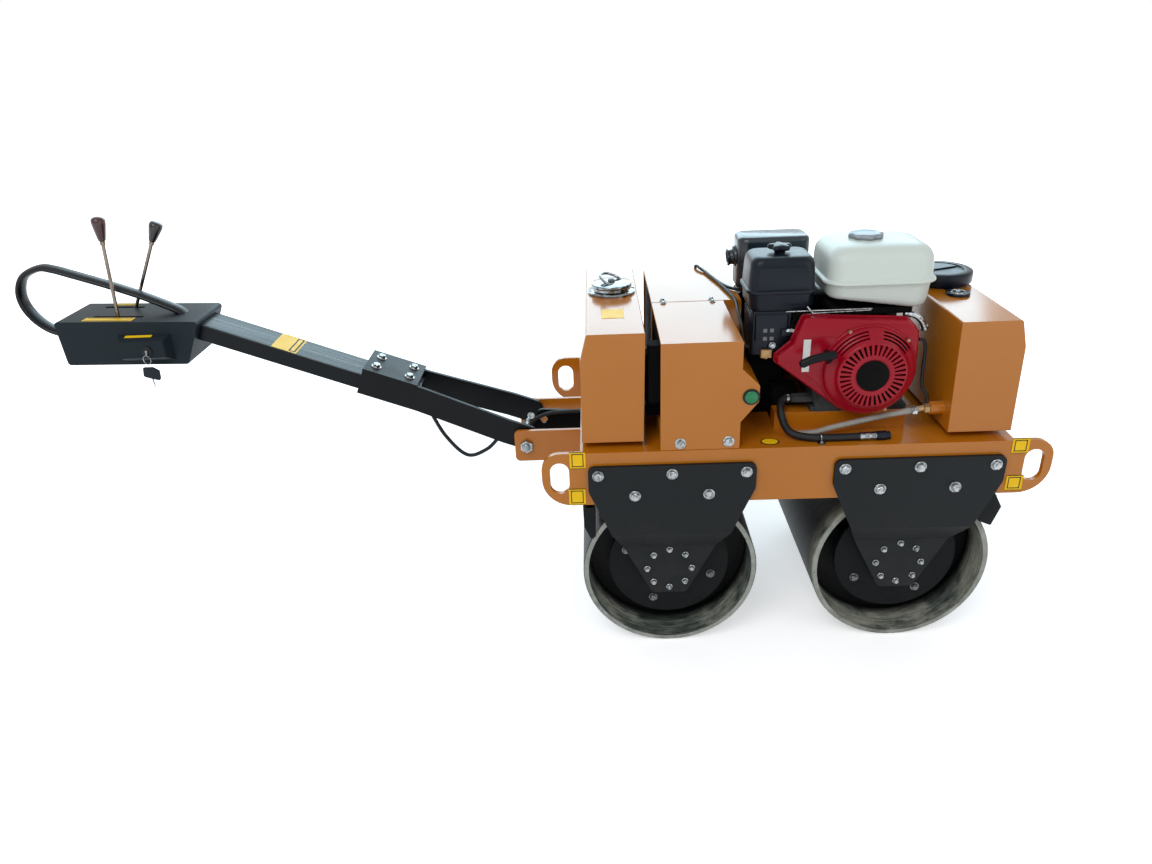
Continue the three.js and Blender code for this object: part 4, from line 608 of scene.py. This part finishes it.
ears = Shape()
for sign in (-1, 1):
    for corners, bar in ((((-487, 402), (-486, 350), (-470, 313), (-459, 322), (-457, 402)), (-486, -466)),
                         (((438, 404), (475, 410), (495, 373), (478, 322), (446, 336)), (463, 482))):
        ears.prism([(P(x, sign * 293.5, z), 4) for x, z in corners], (0, sign, 0), 4)
        ears.block(*bar, min(sign * 258, sign * 294), max(sign * 258, sign * 294), 386, 401, r=2)
ears.finish("scraper_brackets", BLACK, "black_steel", bevel=0.6, angle=38)

pivots = Shape()
for side, sign in SIDES:
    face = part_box(f"pivot_bolt_{side}")[0 if sign < 0 else 1][1] * 1000
    pivots.lathe(P(PIVOT.x, face - sign * 0.2, PIVOT.z), (0, sign, 0),
                 [(12, 0), (12, 1), (8.4, 1.2), (8.4, 4), (7.2, 5)])
pivots.finish("pivot_bolt_ends", CHROME, "zinc", angle=38)

COVER_Y, COVER_TOP = 316, 811
covers = Shape()
for x, z in ((-261, 573), (-153, 575)):
    for sign in (-1, 1):
        covers.bolt(P(x, sign * COVER_Y, z), (0, sign, 0), r=9, head=6, washer=13)
for x in (-277, -157):
    for y in (-22, 2):
        covers.bolt(P(x, y, COVER_TOP), UP, r=5, head=3.6, washer=7.5)
covers.finish("cover_bolts", ZINC, "zinc")

BACK, SILL, CEILING = -303, 604.3, 807.2
# near-black sheets over the inside walls of the covers' pocket: painted shade where the orange walls lie in shade
shade_sheets = Shape()
for x1, y0, y1 in ((-131, -313, -15.5), (-87, -6.5, 313)):
    shade_sheets.block(BACK, x1 - 0.2, y0 + 0.2, y1 - 0.2, CEILING + 0.2, CEILING + 0.6)
    shade_sheets.block(x1 - 0.6, x1 - 0.2, y0 + 0.4, y1 - 0.4, SILL, CEILING)
    for y in (y0 + 0.2, y1 - 0.6):
        shade_sheets.block(BACK, x1 - 0.8, y, y + 0.4, SILL, CEILING)
for y0, y1 in ((-312, -16), (-6, 312)):
    shade_sheets.block(-302, -298, y0, y1, 606, 806)
# dark blocks in the gap behind the rear tank, standing for parts of the drive there, in near-black painted shade
for y0, y1, z0, z1, x0 in ((-282, -246, 660, 796, -331), (-240, -196, 612, 760, -333), (-188, -120, 606, 726, -330),
                           (-110, -30, 606, 690, -333), (-24, 90, 606, 650, -331)):
    shade_sheets.block(x0, -298.5, y0, y1, z0, z1, r=4)
shade_sheets.finish("cover_pocket_painted_shade", PAINTED_SHADE, angle=40)

clamp = Shape()
for along in (-419, -333):
    for y in (-32, 32):
        clamp.bolt(H(along, y, 51), UP_HANDLE, r=9.5, head=7, washer=13)
clamp.finish("clamp_bolts", ZINC, "zinc", body="handle")

# ---------------------------------------------------------------- engine: shroud and recoil starter

CRANK = (162, 711)


def polar(r, angle, y):
    """A place on the fan's side: r from the crank, angle in degrees anticlockwise seen from the right."""
    a = radians(angle)
    return P(CRANK[0] + r * cos(a), y, CRANK[1] + r * sin(a))


def pressed_plate(shape, outline, y_back, y_face, edge):
    """A pressed tray, rounded over from its face to its rim; the outline goes clockwise seen from the right."""
    def inset(points, d):
        ring = []
        n = len(points)
        for i in range(n):
            a, b, c = points[i - 1], points[i], points[(i + 1) % n]
            t = ((b - a).normalized() + (c - b).normalized()).normalized()
            normal = Vector(LEFT).cross(t)
            ring.append(b + normal * (d / 1000))
        return ring
    rings = []
    for y, d in ((y_back, 0.0), (y_back, -3.0), (y_back - 3, -3.0), (y_back - 3, 0.0), (y_face + edge, 0.0),
                 (y_face + edge * 0.3, edge * 0.3), (y_face, edge)):
        ring = inset(outline[::-1], -d)
        rings.append([Vector((p.x, y / 1000, p.z)) for p in ring])
    shape.loft(rings)


def shroud_outline():
    corners = [(P(14, 0, 835), 8), (P(244, 0, 822), 16), (P(268, 0, 797), 10)]
    left = [(P(-42, 0, 731), 6), (P(-42, 0, 746), 6), (P(-8, 0, 775), 10)]
    arc = [(polar(110, a, 0), 0) for a in range(8, -133, -10)]
    ring = rounded(corners + arc + left, 4)
    return [Vector((p.x, 0, p.z)) for p in ring]


def recoil_face(shape):
    """The starter's housing: concentric rows, with the louvres and the ring of radial slots sunk into it. The sunk
    floors take the second material, a near-black painted shade.
    """
    rows = [(103, -257), (102, -262), (100.5, -265), (98, -267.5), (94.5, -270), (91.5, -272), (88, -274.5),
            (85, -276.5), (81.5, -279.5), (78.5, -284), (77, -287), (75, -289), (72, -290), (48, -290),
            (43, -290), (38, -289.4), (37, -288.4), (36, -288.4)]
    slots, half_slot = 36, 2.4
    slot_row, louvre_rows = 12, (3, 5, 7)
    angles = [k * 360 / slots + half for k in range(slots) for half in (-half_slot, half_slot)]
    n = len(angles)
    grid = [[shape.bm.verts.new(polar(r, a, y)) for a in angles] for r, y in rows]

    def hole(i, j):
        """Whether the field between two rows and two angles is sunk."""
        if i == slot_row:
            return j % 2 == 0
        middle = (angles[j] + (angles[j + 1] if j < n - 1 else angles[0] + 360)) / 2
        return i in louvre_rows and any(a <= middle % 360 <= b for a, b in ((34, 78), (99, 148)))

    def quad(a, b, c, d, mat):
        face = shape.bm.faces.new((a, b, c, d))
        face.material_index = mat

    sink, thick = Vector((0, 0.007, 0)), Vector((0, 0.002, 0))
    for i in range(len(rows) - 1):
        j = 0
        while j < n:
            if not hole(i, j):
                k = (j + 1) % n
                quad(grid[i][j], grid[i][k], grid[i + 1][k], grid[i + 1][j], 0)
                j += 1
                continue
            last = j
            while hole(i, last) and last < n:
                last += 1
            outer = [grid[i][q % n] for q in range(j, last + 1)]
            inner = [grid[i + 1][q % n] for q in range(j, last + 1)]
            low_out = [shape.bm.verts.new(v.co + sink) for v in outer]
            low_in = [shape.bm.verts.new(v.co + sink) for v in inner]
            for q in range(len(outer) - 1):
                quad(outer[q], outer[q + 1], low_out[q + 1], low_out[q], 0)
                quad(inner[q + 1], inner[q], low_in[q], low_in[q + 1], 0)
                # the sunk floor, in painted shade
                quad(low_out[q], low_out[q + 1], low_in[q + 1], low_in[q], 1)
            quad(outer[0], low_out[0], low_in[0], inner[0], 0)
            quad(outer[-1], inner[-1], low_in[-1], low_out[-1], 0)
            j = last
    back = [shape.bm.verts.new(v.co + thick) for v in grid[0]]
    for j in range(n):
        k = (j + 1) % n
        quad(back[j], back[k], grid[0][k], grid[0][j], 0)
    shape.bm.faces.new(back)
    shape.bm.faces.new(grid[-1][::-1])


SHROUD_Y = -251
tray = Shape()
pressed_plate(tray, shroud_outline(), -223, SHROUD_Y, edge=6)
raised = [(P(x, SHROUD_Y, z), r) for x, z, r in ((34, 792, 6), (82, 792, 6), (100, 764, 12), (88, 722, 30),
                                                 (100, 668, 12), (92, 650, 8), (18, 712, 8))]
tray.prism(raised, RIGHT, 3.0, arcs=4)
tray.lathe(polar(0, 0, -250), RIGHT, [(107, 0), (107, 3.5), (105, 6), (101, 6)], 72)
tray.lathe(P(198, -250, 792), RIGHT, [(11, 0), (11, 4), (9, 6)], 20)
tray.finish("fan_shroud_pressing", RED, "red", bevel=0.8, segments=1, angle=38, replaces=("fan_shroud",))
recoil = Shape()
recoil_face(recoil)
# the slot floors are painted shade
recoil.finish("recoil_housing", [RED, PAINTED_SHADE], "red", angle=30, replaces=("recoil_cover",))
badge = Shape()
badge.lathe(polar(0, 0, -288.2), RIGHT, [(36, 0), (36, 1.6), (34.5, 2.6), (12, 2.2), (0, 2.2)], 48)
badge.finish("recoil_badge_disc", BADGE, "black_plastic", angle=40)
fix = Shape()
for angle in (41, -64, 118):
    fix.bolt(polar(105, angle, -256), RIGHT, r=5, head=5, washer=0, turn=angle)
fix.finish("recoil_bolts", BOLT_BROWN, "zinc")
sticker = Shape()
sticker.block(14, 30, -254.6, -254, 712, 788)
sticker.finish("shroud_label", LABEL, angle=40)

bar = Shape()
bar.tube(route((2, -300, 748), (20, -301, 757), (42, -301, 763), (72, -300, 768)), 9.5, n=20, width=8.5, normal=LEFT)
bar.lathe(P(3.5, -300, 749), (-1, 0, -0.5), [(9.2, 0), (8, 3.6), (4.6, 6.4), (0, 7.4)], 20)
bar.lathe(P(70.5, -300, 768), (1, 0, 0.2), [(9.2, 0), (8.4, 3), (5, 5.4), (0, 6.2)], 20)
bar.prism([(P(58, -294, 764), 3), (P(78, -294, 768), 3), (P(88, -264, 752), 4), (P(84, -258, 722), 4),
           (P(66, -262, 728), 3)], LEFT, 8)
bar.rod(P(62, -300, 765), P(66, -256, 758), 4, 6.5)
bar.finish("starter_grip_moulding", BLACK, "black_plastic", bevel=1.0, angle=40, replaces=("starter_grip",))

# ---------------------------------------------------------------- engine: tank, air cleaner, muffler


def rounded_box_rings(shape, cx, cy, sections, n, warp=None):
    """sections: [z, width, depth, corner]; a stack of rounded rectangles."""
    rings = []
    for z, w, d, r in sections:
        ring = []
        for q in range(4):
            sx = 1 if q in (0, 3) else -1
            sy = 1 if q < 2 else -1
            for k in range(n):
                a = radians(90 * (q + k / (n - 1)))
                x = cx + sx * (w / 2 - r) + r * cos(a)
                y = cy + sy * (d / 2 - r) + r * sin(a)
                ring.append(P(x, y, warp(x, y, z) if warp else z))
        rings.append(ring)
    shape.loft(rings)


FUEL = (184, -130)
FUEL_SEAM = 898


def fuel_bottom(x, y, z):
    """The tank's floor is shallower towards its rear end."""
    if z >= FUEL_SEAM:
        return z
    share = min(1, max(0, (x - 110) / 50))
    return FUEL_SEAM - (FUEL_SEAM - z) * (0.62 + 0.38 * share)


FUEL_SECTIONS = [
    (840, 170, 126, 26), (840.6, 196, 150, 30), (843, 210, 166, 34), (848, 218, 176, 36), (858, 223, 182, 38),
    (886, 227, 188, 39), (897, 229, 191, 39), (FUEL_SEAM, 238, 200, 43), (899, 246, 209, 47), (900.5, 248, 212, 48),
    (903.5, 248, 212, 48), (905, 246, 209, 47), (906, 238, 200, 43), (907.5, 232, 196, 40), (925, 231.4, 195.4, 39),
    (942, 230, 194, 38), (951, 228, 192, 38), (958, 223.5, 187.5, 38), (965, 216, 180, 38), (970, 207, 171, 37),
    (974, 194, 158, 35), (977, 176, 140, 32), (979.3, 150, 116, 28), (980.6, 118, 88, 24), (981, 70, 52, 18),
]
fuel = Shape()
rounded_box_rings(fuel, *FUEL, FUEL_SECTIONS, n=9, warp=fuel_bottom)
fuel.finish("fuel_tank_shell", CREAM, "cream", angle=50, replaces=("fuel_tank",))
# dark blocks under the fuel tank stand for its bracket; their flat near-black paints the shade in the gap there
under = Shape()
under.block(66, 272, -112, -60, 800, 846, r=6)
under.block(84, 262, -206, -110, 826, 840, r=4)
under.finish("tank_bracket_painted_shade", PAINTED_SHADE, bevel=1.0, angle=40)
cap = Shape()
cap.wavy(165, FUEL[1], 978.6, ((0, 30, 0), (2, 30, 0), (2.2, 35, 1.6), (5, 36.5, 2.2), (12, 36.5, 2.2), (15, 35, 1.8),
                               (17, 31, 0.8), (17.6, 26, 0), (16.6, 24, 0), (16.6, 2, 0)), lobes=8, n=72, rise=0.8)
cap.finish("fuel_cap_knurled", ALLOY, "casting", angle=45, replaces=("fuel_cap",))

AIR = (-32, -165)
air = Shape()
rounded_box_rings(air, *AIR, [
    (842, 112, 92, 14), (842.5, 122, 102, 18), (846, 132, 111, 20), (856, 141, 119, 22), (884, 145, 123, 24),
    (885, 152, 130, 27), (886.5, 155, 133, 28), (891.5, 155, 133, 28), (893, 152, 130, 27), (894, 146, 124, 24),
    (934, 142, 120, 24), (948, 139, 117, 24), (955, 134, 112, 24), (960, 127, 105, 23), (962.5, 117, 95, 20),
    (963.4, 104, 82, 15), (963.6, 84, 60, 8),
], n=7)
panel = [(P(AIR[0] + dx, AIR[1] - 61.2, z), 5) for dx, z in ((-56, 898), (56, 898), (53, 944), (-53, 944))]
air.prism(panel, RIGHT, 0.7)
air.wavy(*AIR, 962, ((0, 12, 0), (7, 12, 0), (7.6, 19, 4), (10, 22, 5.4), (16, 22, 5.4), (18.6, 19.6, 4.4),
                     (19.6, 14, 2), (20, 3, 0)), lobes=5, n=60, shift=radians(18))
air.block(-94, -6, -214, -150, 742, 843, r=5)
air.block(-96, -60, -206, -120, 752, 838, r=3)
air.block(-88, -14, -217, -213, 776, 836, r=4)
air.lathe(P(-25, -213, 744), RIGHT, [(13, 0), (13, 9), (11, 12), (6, 13)], 20)
air.block(-30, -4, -221, -210, 786, 802, r=3)
air.block(-58, -30, -219, -212, 752, 762, r=2)
air.finish("air_cleaner_box", PLASTIC, "black_plastic", bevel=1.2, angle=42, replaces=("air_cleaner",))
marks = Shape()
for x, z in ((-69, 795), (-54, 795), (-69, 776), (-54, 776)):
    marks.block(x, x + 9, -217.8, -217, z, z + 9, r=1)
marks.finish("choke_marks", FADED, angle=40)
levers = Shape()
levers.prism([(P(-20, -222, 797), 1.5), (P(-16, -222, 803), 2), (P(12, -228, 801), 3), (P(14, -228, 795), 3)],
             LEFT, 4)
levers.bolt(P(-47, -217, 764), RIGHT, r=6.5, head=5, washer=8)
levers.bolt(P(-8, -221, 770), RIGHT, r=3.5, head=4, washer=5)
levers.rod(P(-26, -238, 848.5), P(162, -236, 848.5), 1.4, n=10)
levers.rod(P(20, -236, 858), P(34, -236, 842), 1.8, n=10)
levers.rod(P(34, -236, 842), P(162, -232, 844), 1.2, n=10)
levers.finish("governor_rods", ZINC, "zinc", angle=40)
brass = Shape()
brass.block(-73, -47, -222, -208, 736, 755, r=2)
brass.lathe(P(-60, -214, 736), (0, 0, -1), [(6, 0), (6, 3), (3.4, 5)], 12)
brass.finish("carburettor_bowl_nut", BRASS, bevel=0.8, angle=40)

MUFF = (-3, 74)
muff = Shape()
rounded_box_rings(muff, *MUFF, [
    (822, 156, 82, 18), (826, 170, 96, 24), (832, 176, 102, 26), (940, 176, 102, 26), (946, 173, 99, 25),
    (950, 166, 92, 22), (952, 156, 82, 18),
], n=6)
# dark strips stand for the slots, not cut through; their near-black is painted shade
for x0, x1 in ((-66, -44), (-26, -4), (14, 36)):
    for y in (22.2, 124.6):
        muff.block(x0, x1, y, y + 1.2, 896, 902, r=2, mat=1)
muff.lathe(P(-88, 74, 898), (-1, 0, -0.12),
           [(27, 0), (27, 6), (20, 8), (18, 16), (22, 22), (20, 24), (14, 23), (13, 8)], 28)
muff.finish("muffler_guard", [DARK_METAL, PAINTED_SHADE], "black_steel", bevel=0.5, segments=1, angle=42,
            replaces=("muffler",))

# ---------------------------------------------------------------- caps

TANK_TOP = 830.3
RC = (-401.5, 30)
rear_cap = Shape()
rear_cap.lathe(P(*RC, TANK_TOP), UP, [(59, 0), (59, 4), (57, 6), (50, 7), (47, 9), (46.5, 14), (49, 15), (50, 16.5),
                                      (50, 22), (48.5, 24), (42, 25.5), (30, 26.5), (14, 27), (0, 27)], 64)
rear_cap.torus(P(*RC, 861.5), (0.35, -0.2, 0.92), 29, 3.4, n=48, m=12)
rear_cap.lathe(P(*RC, 856.5), UP, [(9, 0), (9, 5), (6, 8), (0, 9)])
for k in range(6):
    a = radians(60 * k + 10)
    rear_cap.bolt(P(RC[0] + 53.5 * cos(a), RC[1] + 53.5 * sin(a), 835.6), UP, r=3.6, head=2.4, washer=0)
rear_cap.finish("rear_cap_chrome", CHROME, "chrome", angle=38, replaces=("rear_tank_cap",))

FC = (400, 20)
front_cap = Shape()
front_cap.wavy(*FC, TANK_TOP, [(h, r, 0) for h, r in (
    (0, 66), (5, 66), (6, 76), (9, 77), (28, 77), (31, 76), (33.6, 71.5), (33.6, 56), (30, 54), (29.4, 30),
    (29.4, 4))], lobes=0, n=144)
half = [(P(FC[0] + 50 * cos(a), FC[1] + 50 * sin(a), 859), 0) for a in
        [radians(20 + 180 * k / 24) for k in range(25)]]
front_cap.prism(half, UP, 4)
PLUG = (FC[0] + 4, -95)
front_cap.lathe(P(*PLUG, TANK_TOP), UP, [(27, 0), (27, 4.5), (25.6, 6.5), (15, 7), (13, 5), (0, 5)], 36)
ring = Shape()
ring.torus(P(*PLUG, 837), UP, 15.5, 1.6, n=36)
ring.lathe(P(*PLUG, 835), UP, [(7, 0), (7, 4), (5.5, 5)], 6)
ring.finish("front_plug_ring", ZINC, "zinc", angle=38)
front_cap.block(FC[0] - 10, FC[0] + 10, -75, -44, TANK_TOP, 833.3)
front_cap.finish("front_cap_moulding", PLASTIC, "black_plastic", angle=42, replaces=("front_tank_cap",))

# ---------------------------------------------------------------- hoses and cables


def hose(name, node, material, r, n, *routes, slot="rubber", body="frame"):
    """A hose or cable along its routes, in place of the frame's own."""
    shape = Shape()
    for places in routes:
        shape.tube(places, r, n=n)
    shape.finish(name, material, slot, body, angle=50, replaces=(node,))


CABLE_R, SHEATH_R = 4.9, 3.9
HOSE_Z = 565.3
hose("drain_hose_rubber", "drain_hose", RUBBER, 8.8, 20, route(
    (5.4, -205, 628), (-6, -205, 628), (-18, -214, 622), (-22, -233, 608), (-19, -244, 592), (-13, -262, 578),
    (0, -278, 570), (26, -288, 566.4), (62, -293, HOSE_Z), (140, -292, HOSE_Z), (180, -291, HOSE_Z)))
ends = Shape()
ends.lathe(P(146, -292, HOSE_Z), (1, 0.04, 0), [(9.4, 0), (10.4, 1), (10.4, 8), (9.8, 9), (9.8, 14), (10.4, 15),
                                                (10.4, 24), (9.8, 25), (9.8, 30), (10.4, 31), (10.4, 38), (9, 40)], 28)
ends.torus(P(59, -293, 566), (1, -0.06, 0.02), 10.6, 1.8)
ends.block(51, 67, -311, -286, 556.3, 558, r=3)
ends.bolt(P(59, -304, 558), UP, r=5, head=4, washer=7)
ends.lathe(P(-5, -205, 628), (1, 0, 0), [(9.4, 0), (11, 0.5), (11, 6), (9.4, 6.5)])
ends.finish("drain_hose_fittings", CHROME, "zinc", angle=38)
plug = Shape()
plug.lathe(P(184, -291, HOSE_Z), (1, 0.04, 0), [(9, 0), (11.2, 1), (11.2, 22), (9.6, 24), (9.6, 31), (6, 32.5)])
plug.finish("drain_hose_plug", PLASTIC, "black_plastic", angle=38)

hose("sight_hose_tube", "sight_hose", SIGHT, 6.9, 18, route(
    (288, -250, 609.2), (206, -252, 596), (101, -260, 577), (52, -266, 567), (10, -264, 563.3)), slot="clear_hose")
clip = Shape()
clip.torus(P(280, -250.2, 608), (0.98, 0, 0.18), 8.4, 1.5)
clip.torus(P(274, -250.3, 607), (0.98, 0, 0.18), 8.4, 1.5)
clip.block(271, 283, -262, -258, 603, 611, r=1)
clip.finish("sight_hose_clip", ZINC, "zinc", angle=38)

hose("frame_cable_sheath", "frame_cable", RUBBER, CABLE_R, 16, route(
    (-627.5, -43.5, 478), (-627.5, -38, 478), (-623, -35, 490), (-606, -35, 518), (-570, -36, 534),
    (-520, -36, 537), (-488.3, -36, 537)))
hose("handle_cable_sheath", "handle_cable", RUBBER, CABLE_R, 16, route(
    (-946.6, -20, 595.1), (-915.2, -20.2, 584), (-885, -32, 563), (-845, -40, 483), (-793, -40, 424),
    (-740, -40, 438), (-703, -42, 474), (-668, -50, 507), (-638, -60, 502), (-628, -64, 484),
    (-627.5, -55, 478), (-627.5, -45, 478)), body="handle")
hose("control_cable_sheaths", "control_cables", RUBBER, SHEATH_R, 14, route(
    (-161, 308, 811.4), (-161, 308, 816), (-157.5, 295, 819), (-150, 268, 816.8), (-142, 242, 815.6),
    (-126, 159, 815.6), (-105, 89, 815.6), (-80, 58, 815.6), (-50, 38, 811), (-38, 22, 803), (-38, 9.5, 803)), route(
    (-126, 159, 815.6), (-118, 110, 815.6), (-104, 0, 815.6), (-103, -42, 814), (-108, -110, 809), (-108, -170, 793),
    (-109, -190, 776), (-104, -200, 760), (-100, -200, 757), (-94.4, -200, 757)))
pipe = Shape()
pipe.tube(route((246, -200, 823), (258, -200, 821), (274, -200, 816), (288, -201, 803), (296, -202, 786)), 7, n=18)
pipe.lathe(P(293.6, -202, 791), (0.42, 0, -0.9), [(8.6, 0), (8.6, 6), (7.6, 7)], 20)
pipe.finish("breather_pipe", ZINC, "zinc", angle=40)
hose("vent_hose_tube", "vent_hose", RUBBER, SHEATH_R, 14, route(
    (272, -240, 775), (278, -240, 775), (286, -240, 765), (289, -240, 740), (289, -241, 700), (292, -244, 664),
    (303, -250, 642), (303, -250, 625.6)))

# ---------------------------------------------------------------- plates and buttons

PLATE_Y = -318.9
plates, borders = Shape(), Shape()
for x0, x1, z0, z1 in ((-513, -476, 519, 560), (-518, -479, 424, 465), (481, 519, 525, 561), (482, 520, 430, 467)):
    plates.block(x0, x1, PLATE_Y, -318.05, z0, z1, r=2)
    for xa, xb, za, zb in ((x0 + 5, x1 - 5, z0 + 4, z0 + 6), (x0 + 5, x1 - 5, z1 - 6, z1 - 4),
                           (x0 + 5, x0 + 7, z0 + 4, z1 - 4), (x1 - 7, x1 - 5, z0 + 4, z1 - 4)):
        borders.block(xa, xb, PLATE_Y - 0.4, -318.8, za, zb)
plates.finish("blank_plates", YELLOW, angle=40)
borders.finish("blank_plate_borders", INK, angle=40)
oval = Shape()
for mat, r, h in ((0, 22, 0.5), (1, 18, 0.9)):
    angles = [2 * pi * k / 40 for k in range(40)]
    ring = [P(-54 + r * cos(a), -286 + r * 0.75 * sin(a), 556) for a in angles]
    oval.loft([ring, [p + Vector((0, 0, h / 1000)) for p in ring]], mat=mat)
oval.finish("deck_oval_plate", [INK, YELLOW], angle=40)
LAMP = P(-107, -COVER_Y, 682)
button = Shape()
button.lathe(LAMP, RIGHT, [(19, 0), (19, 1.5), (17, 2.5), (15.5, 2.5)], 36, mat=1)
button.lathe(LAMP, RIGHT, [(14.4, 0), (14.4, 5), (13, 6.6), (8, 7.6), (0, 8)], 36)
button.finish("green_lamp", [GREEN, INK], angle=38)
top_plate = Shape()
top_plate.block(-430, -378, -184, -118, TANK_TOP - 0.2, TANK_TOP + 0.4, r=3)
top_plate.finish("tank_top_plate", YELLOW, angle=40)

# ---------------------------------------------------------------- handle: loop, levers, box

loop = Shape()
LOOP = [(-1468, 820), (-1486, 835), (-1557, 869), (-1606, 889), (-1654, 907), (-1726, 932), (-1765, 945), (-1800, 950),
        (-1843, 932), (-1864, 896), (-1864, 858), (-1846, 822), (-1816, 795), (-1780, 781), (-1752, 773.5)]
loop.tube([P(x, 0, z) for x, z in LOOP], 8.5, n=28, width=20, normal=LEFT)
loop.finish("loop_handle_tube", LOOP_PAINT, "black_steel", body="handle", angle=50, replaces=("loop_handle",))

BOX_TOP, SUNK = 831, 20
# each lever: where its foot and its knob are along the machine, and the knob's two heights
LEVERS = (("right", MAROON, -37, -1618, -1606, 1018, 1074), ("left", KNOB_BLACK, 44, -1612, -1529, 996, 1047))
for name, material, y, foot, top, low, high in LEVERS:
    lean = (top - foot) / (low - BOX_TOP)
    base, head = P(foot - lean * SUNK, y, BOX_TOP - SUNK), P(top, y, low)
    axis = head - base
    rod = Shape()
    rod.rod(base, head + axis.normalized() * 0.006, 4.3, n=20)
    rod.lathe(head - axis.normalized() * 0.01, axis, [(4.3, 0), (6.2, 1), (6.2, 9), (4.3, 10)], 20)
    tall = high - low
    rod.lathe(head, axis, [(6, 0), (8, 0.6), (9.6, 6), (13.2, tall * 0.45), (15.8, tall * 0.72), (16, tall * 0.82),
                           (14.8, tall * 0.91), (11.4, tall * 0.97), (6, tall), (0, tall)], 32, mat=1)
    rod.finish(f"lever_{name}_rod_and_knob", [ROD, material], "chrome", body="handle", angle=48,
               replaces=(f"lever_{name}",))

BOX_LEAN = -11 / 352


def box_top(x):
    """Height of the control box's sloping top."""
    return 835 + (x + 1756) * BOX_LEAN


def on_top(shape, x0, x1, y0, y1, lift, thick):
    """A thin strip on the box; the lower ones have rounded corners."""
    corners = ((x0, y0), (x1, y0), (x1, y1), (x0, y1))
    r = 2 if lift < 0.2 else 0
    shape.prism([(P(x, y, box_top(x) + lift), r) for x, y in corners], (-BOX_LEAN, 0, 1), thick)


strips = Shape()
on_top(strips, -1692, -1570, -72, -46, 0.1, 0.6)
on_top(strips, -1676, -1616, 60, 78, 0.1, 0.6)
strips.prism([(P(*place), 1) for place in ((-1586, -83, 795.7), (-1520, -83, 795.7), (-1522, -90, 792.7),
                                           (-1588, -90, 792.7))], (0, -0.39, 0.92), 0.7)
strips.finish("box_blank_strips", YELLOW, body="handle", angle=40)
lines = Shape()
for x0, x1, y0, y1 in ((-1686, -1576, -68.5, -67), (-1686, -1576, -51, -49.5),
                       (-1672, -1620, 64, 65.2), (-1672, -1620, 72.8, 74)):
    on_top(lines, x0, x1, y0, y1, 0.6, 0.4)
lines.finish("box_strip_borders", INK, body="handle", angle=40)

TUBE_TOP = 26.6


def on_tube(shape, start, end, half, lift, thick, r, mat=0):
    """A thin strip across the handle's tube."""
    corners = ((start, -half), (end, -half), (end, half), (start, half))
    shape.prism([(H(along, y, TUBE_TOP + lift), r) for along, y in corners], UP_HANDLE, thick, mat)


band = Shape()
on_tube(band, -678, -615, 49, 0, 0.5, 2)
band.finish("tube_blank_band", YELLOW, body="handle", angle=40)
inner = Shape()
on_tube(inner, -636, -619, 44, 0.5, 0.3, 1, mat=1)
on_tube(inner, -632, -623, 40, 0.8, 0.3, 1)
inner.finish("tube_blank_bar", [YELLOW, INK], body="handle", angle=40)

switch = Shape()
switch.lathe(P(-1531, -105.5, 762), RIGHT, [(12, 0), (12, 3), (10, 4.5), (7, 4.5), (6.5, 3.5), (0, 3.5)], 32)
switch.finish("key_switch", INK, "black_plastic", body="handle", angle=38)
key = Shape()
key.prism([(P(*place), 0.6) for place in ((-1534, -109.5, 766), (-1528, -109.5, 766), (-1529, -113, 752),
                                          (-1533, -113, 752))], RIGHT, 1.6)
key.torus(P(-1534, -110.5, 742), (0.3, 1, 0), 11, 1.1)
key.rod(P(-1534, -110, 708), P(-1531, -110, 672), 1.6, n=10)
key.finish("key_and_ring", CHROME, "chrome", body="handle", angle=38)
fob = Shape()
fob.prism([(P(-1548, -110, 724), 4), (P(-1524, -110, 724), 4), (P(-1510, -109, 714), 3), (P(-1512, -109, 688), 5),
           (P(-1534, -109, 694), 4), (P(-1552, -109, 700), 5)], RIGHT, 4.5)
fob.finish("key_fob", PLASTIC, "black_plastic", body="handle", bevel=0.8, angle=38)

# dark blocks between the covers and the engine stand for the drive coupling; their flat near-black paints the shade
# there
drive = Shape()
drive.block(-80, 6, -120, 60, 556.5, 690, r=10)
drive.rod(P(-84, -20, CRANK[1]), P(10, -20, CRANK[1]), 34, n=28)
drive.block(-30, 30, -170, -120, 556.5, 640, r=8)
drive.finish("drive_coupling_painted_shade", PAINTED_SHADE, bevel=1.5, angle=40)

pin = Shape()
for k in range(9):
    pin.torus(P(-629, -20 + (k - 4) * 3.6, 498), (0, 1, 0.1), 9, 1.4, n=24)
pin.rod(P(-629, -42, 506), P(-629, 0, 506), 2, n=10)
pin.finish("stop_spring", CHROME, "chrome", angle=48)
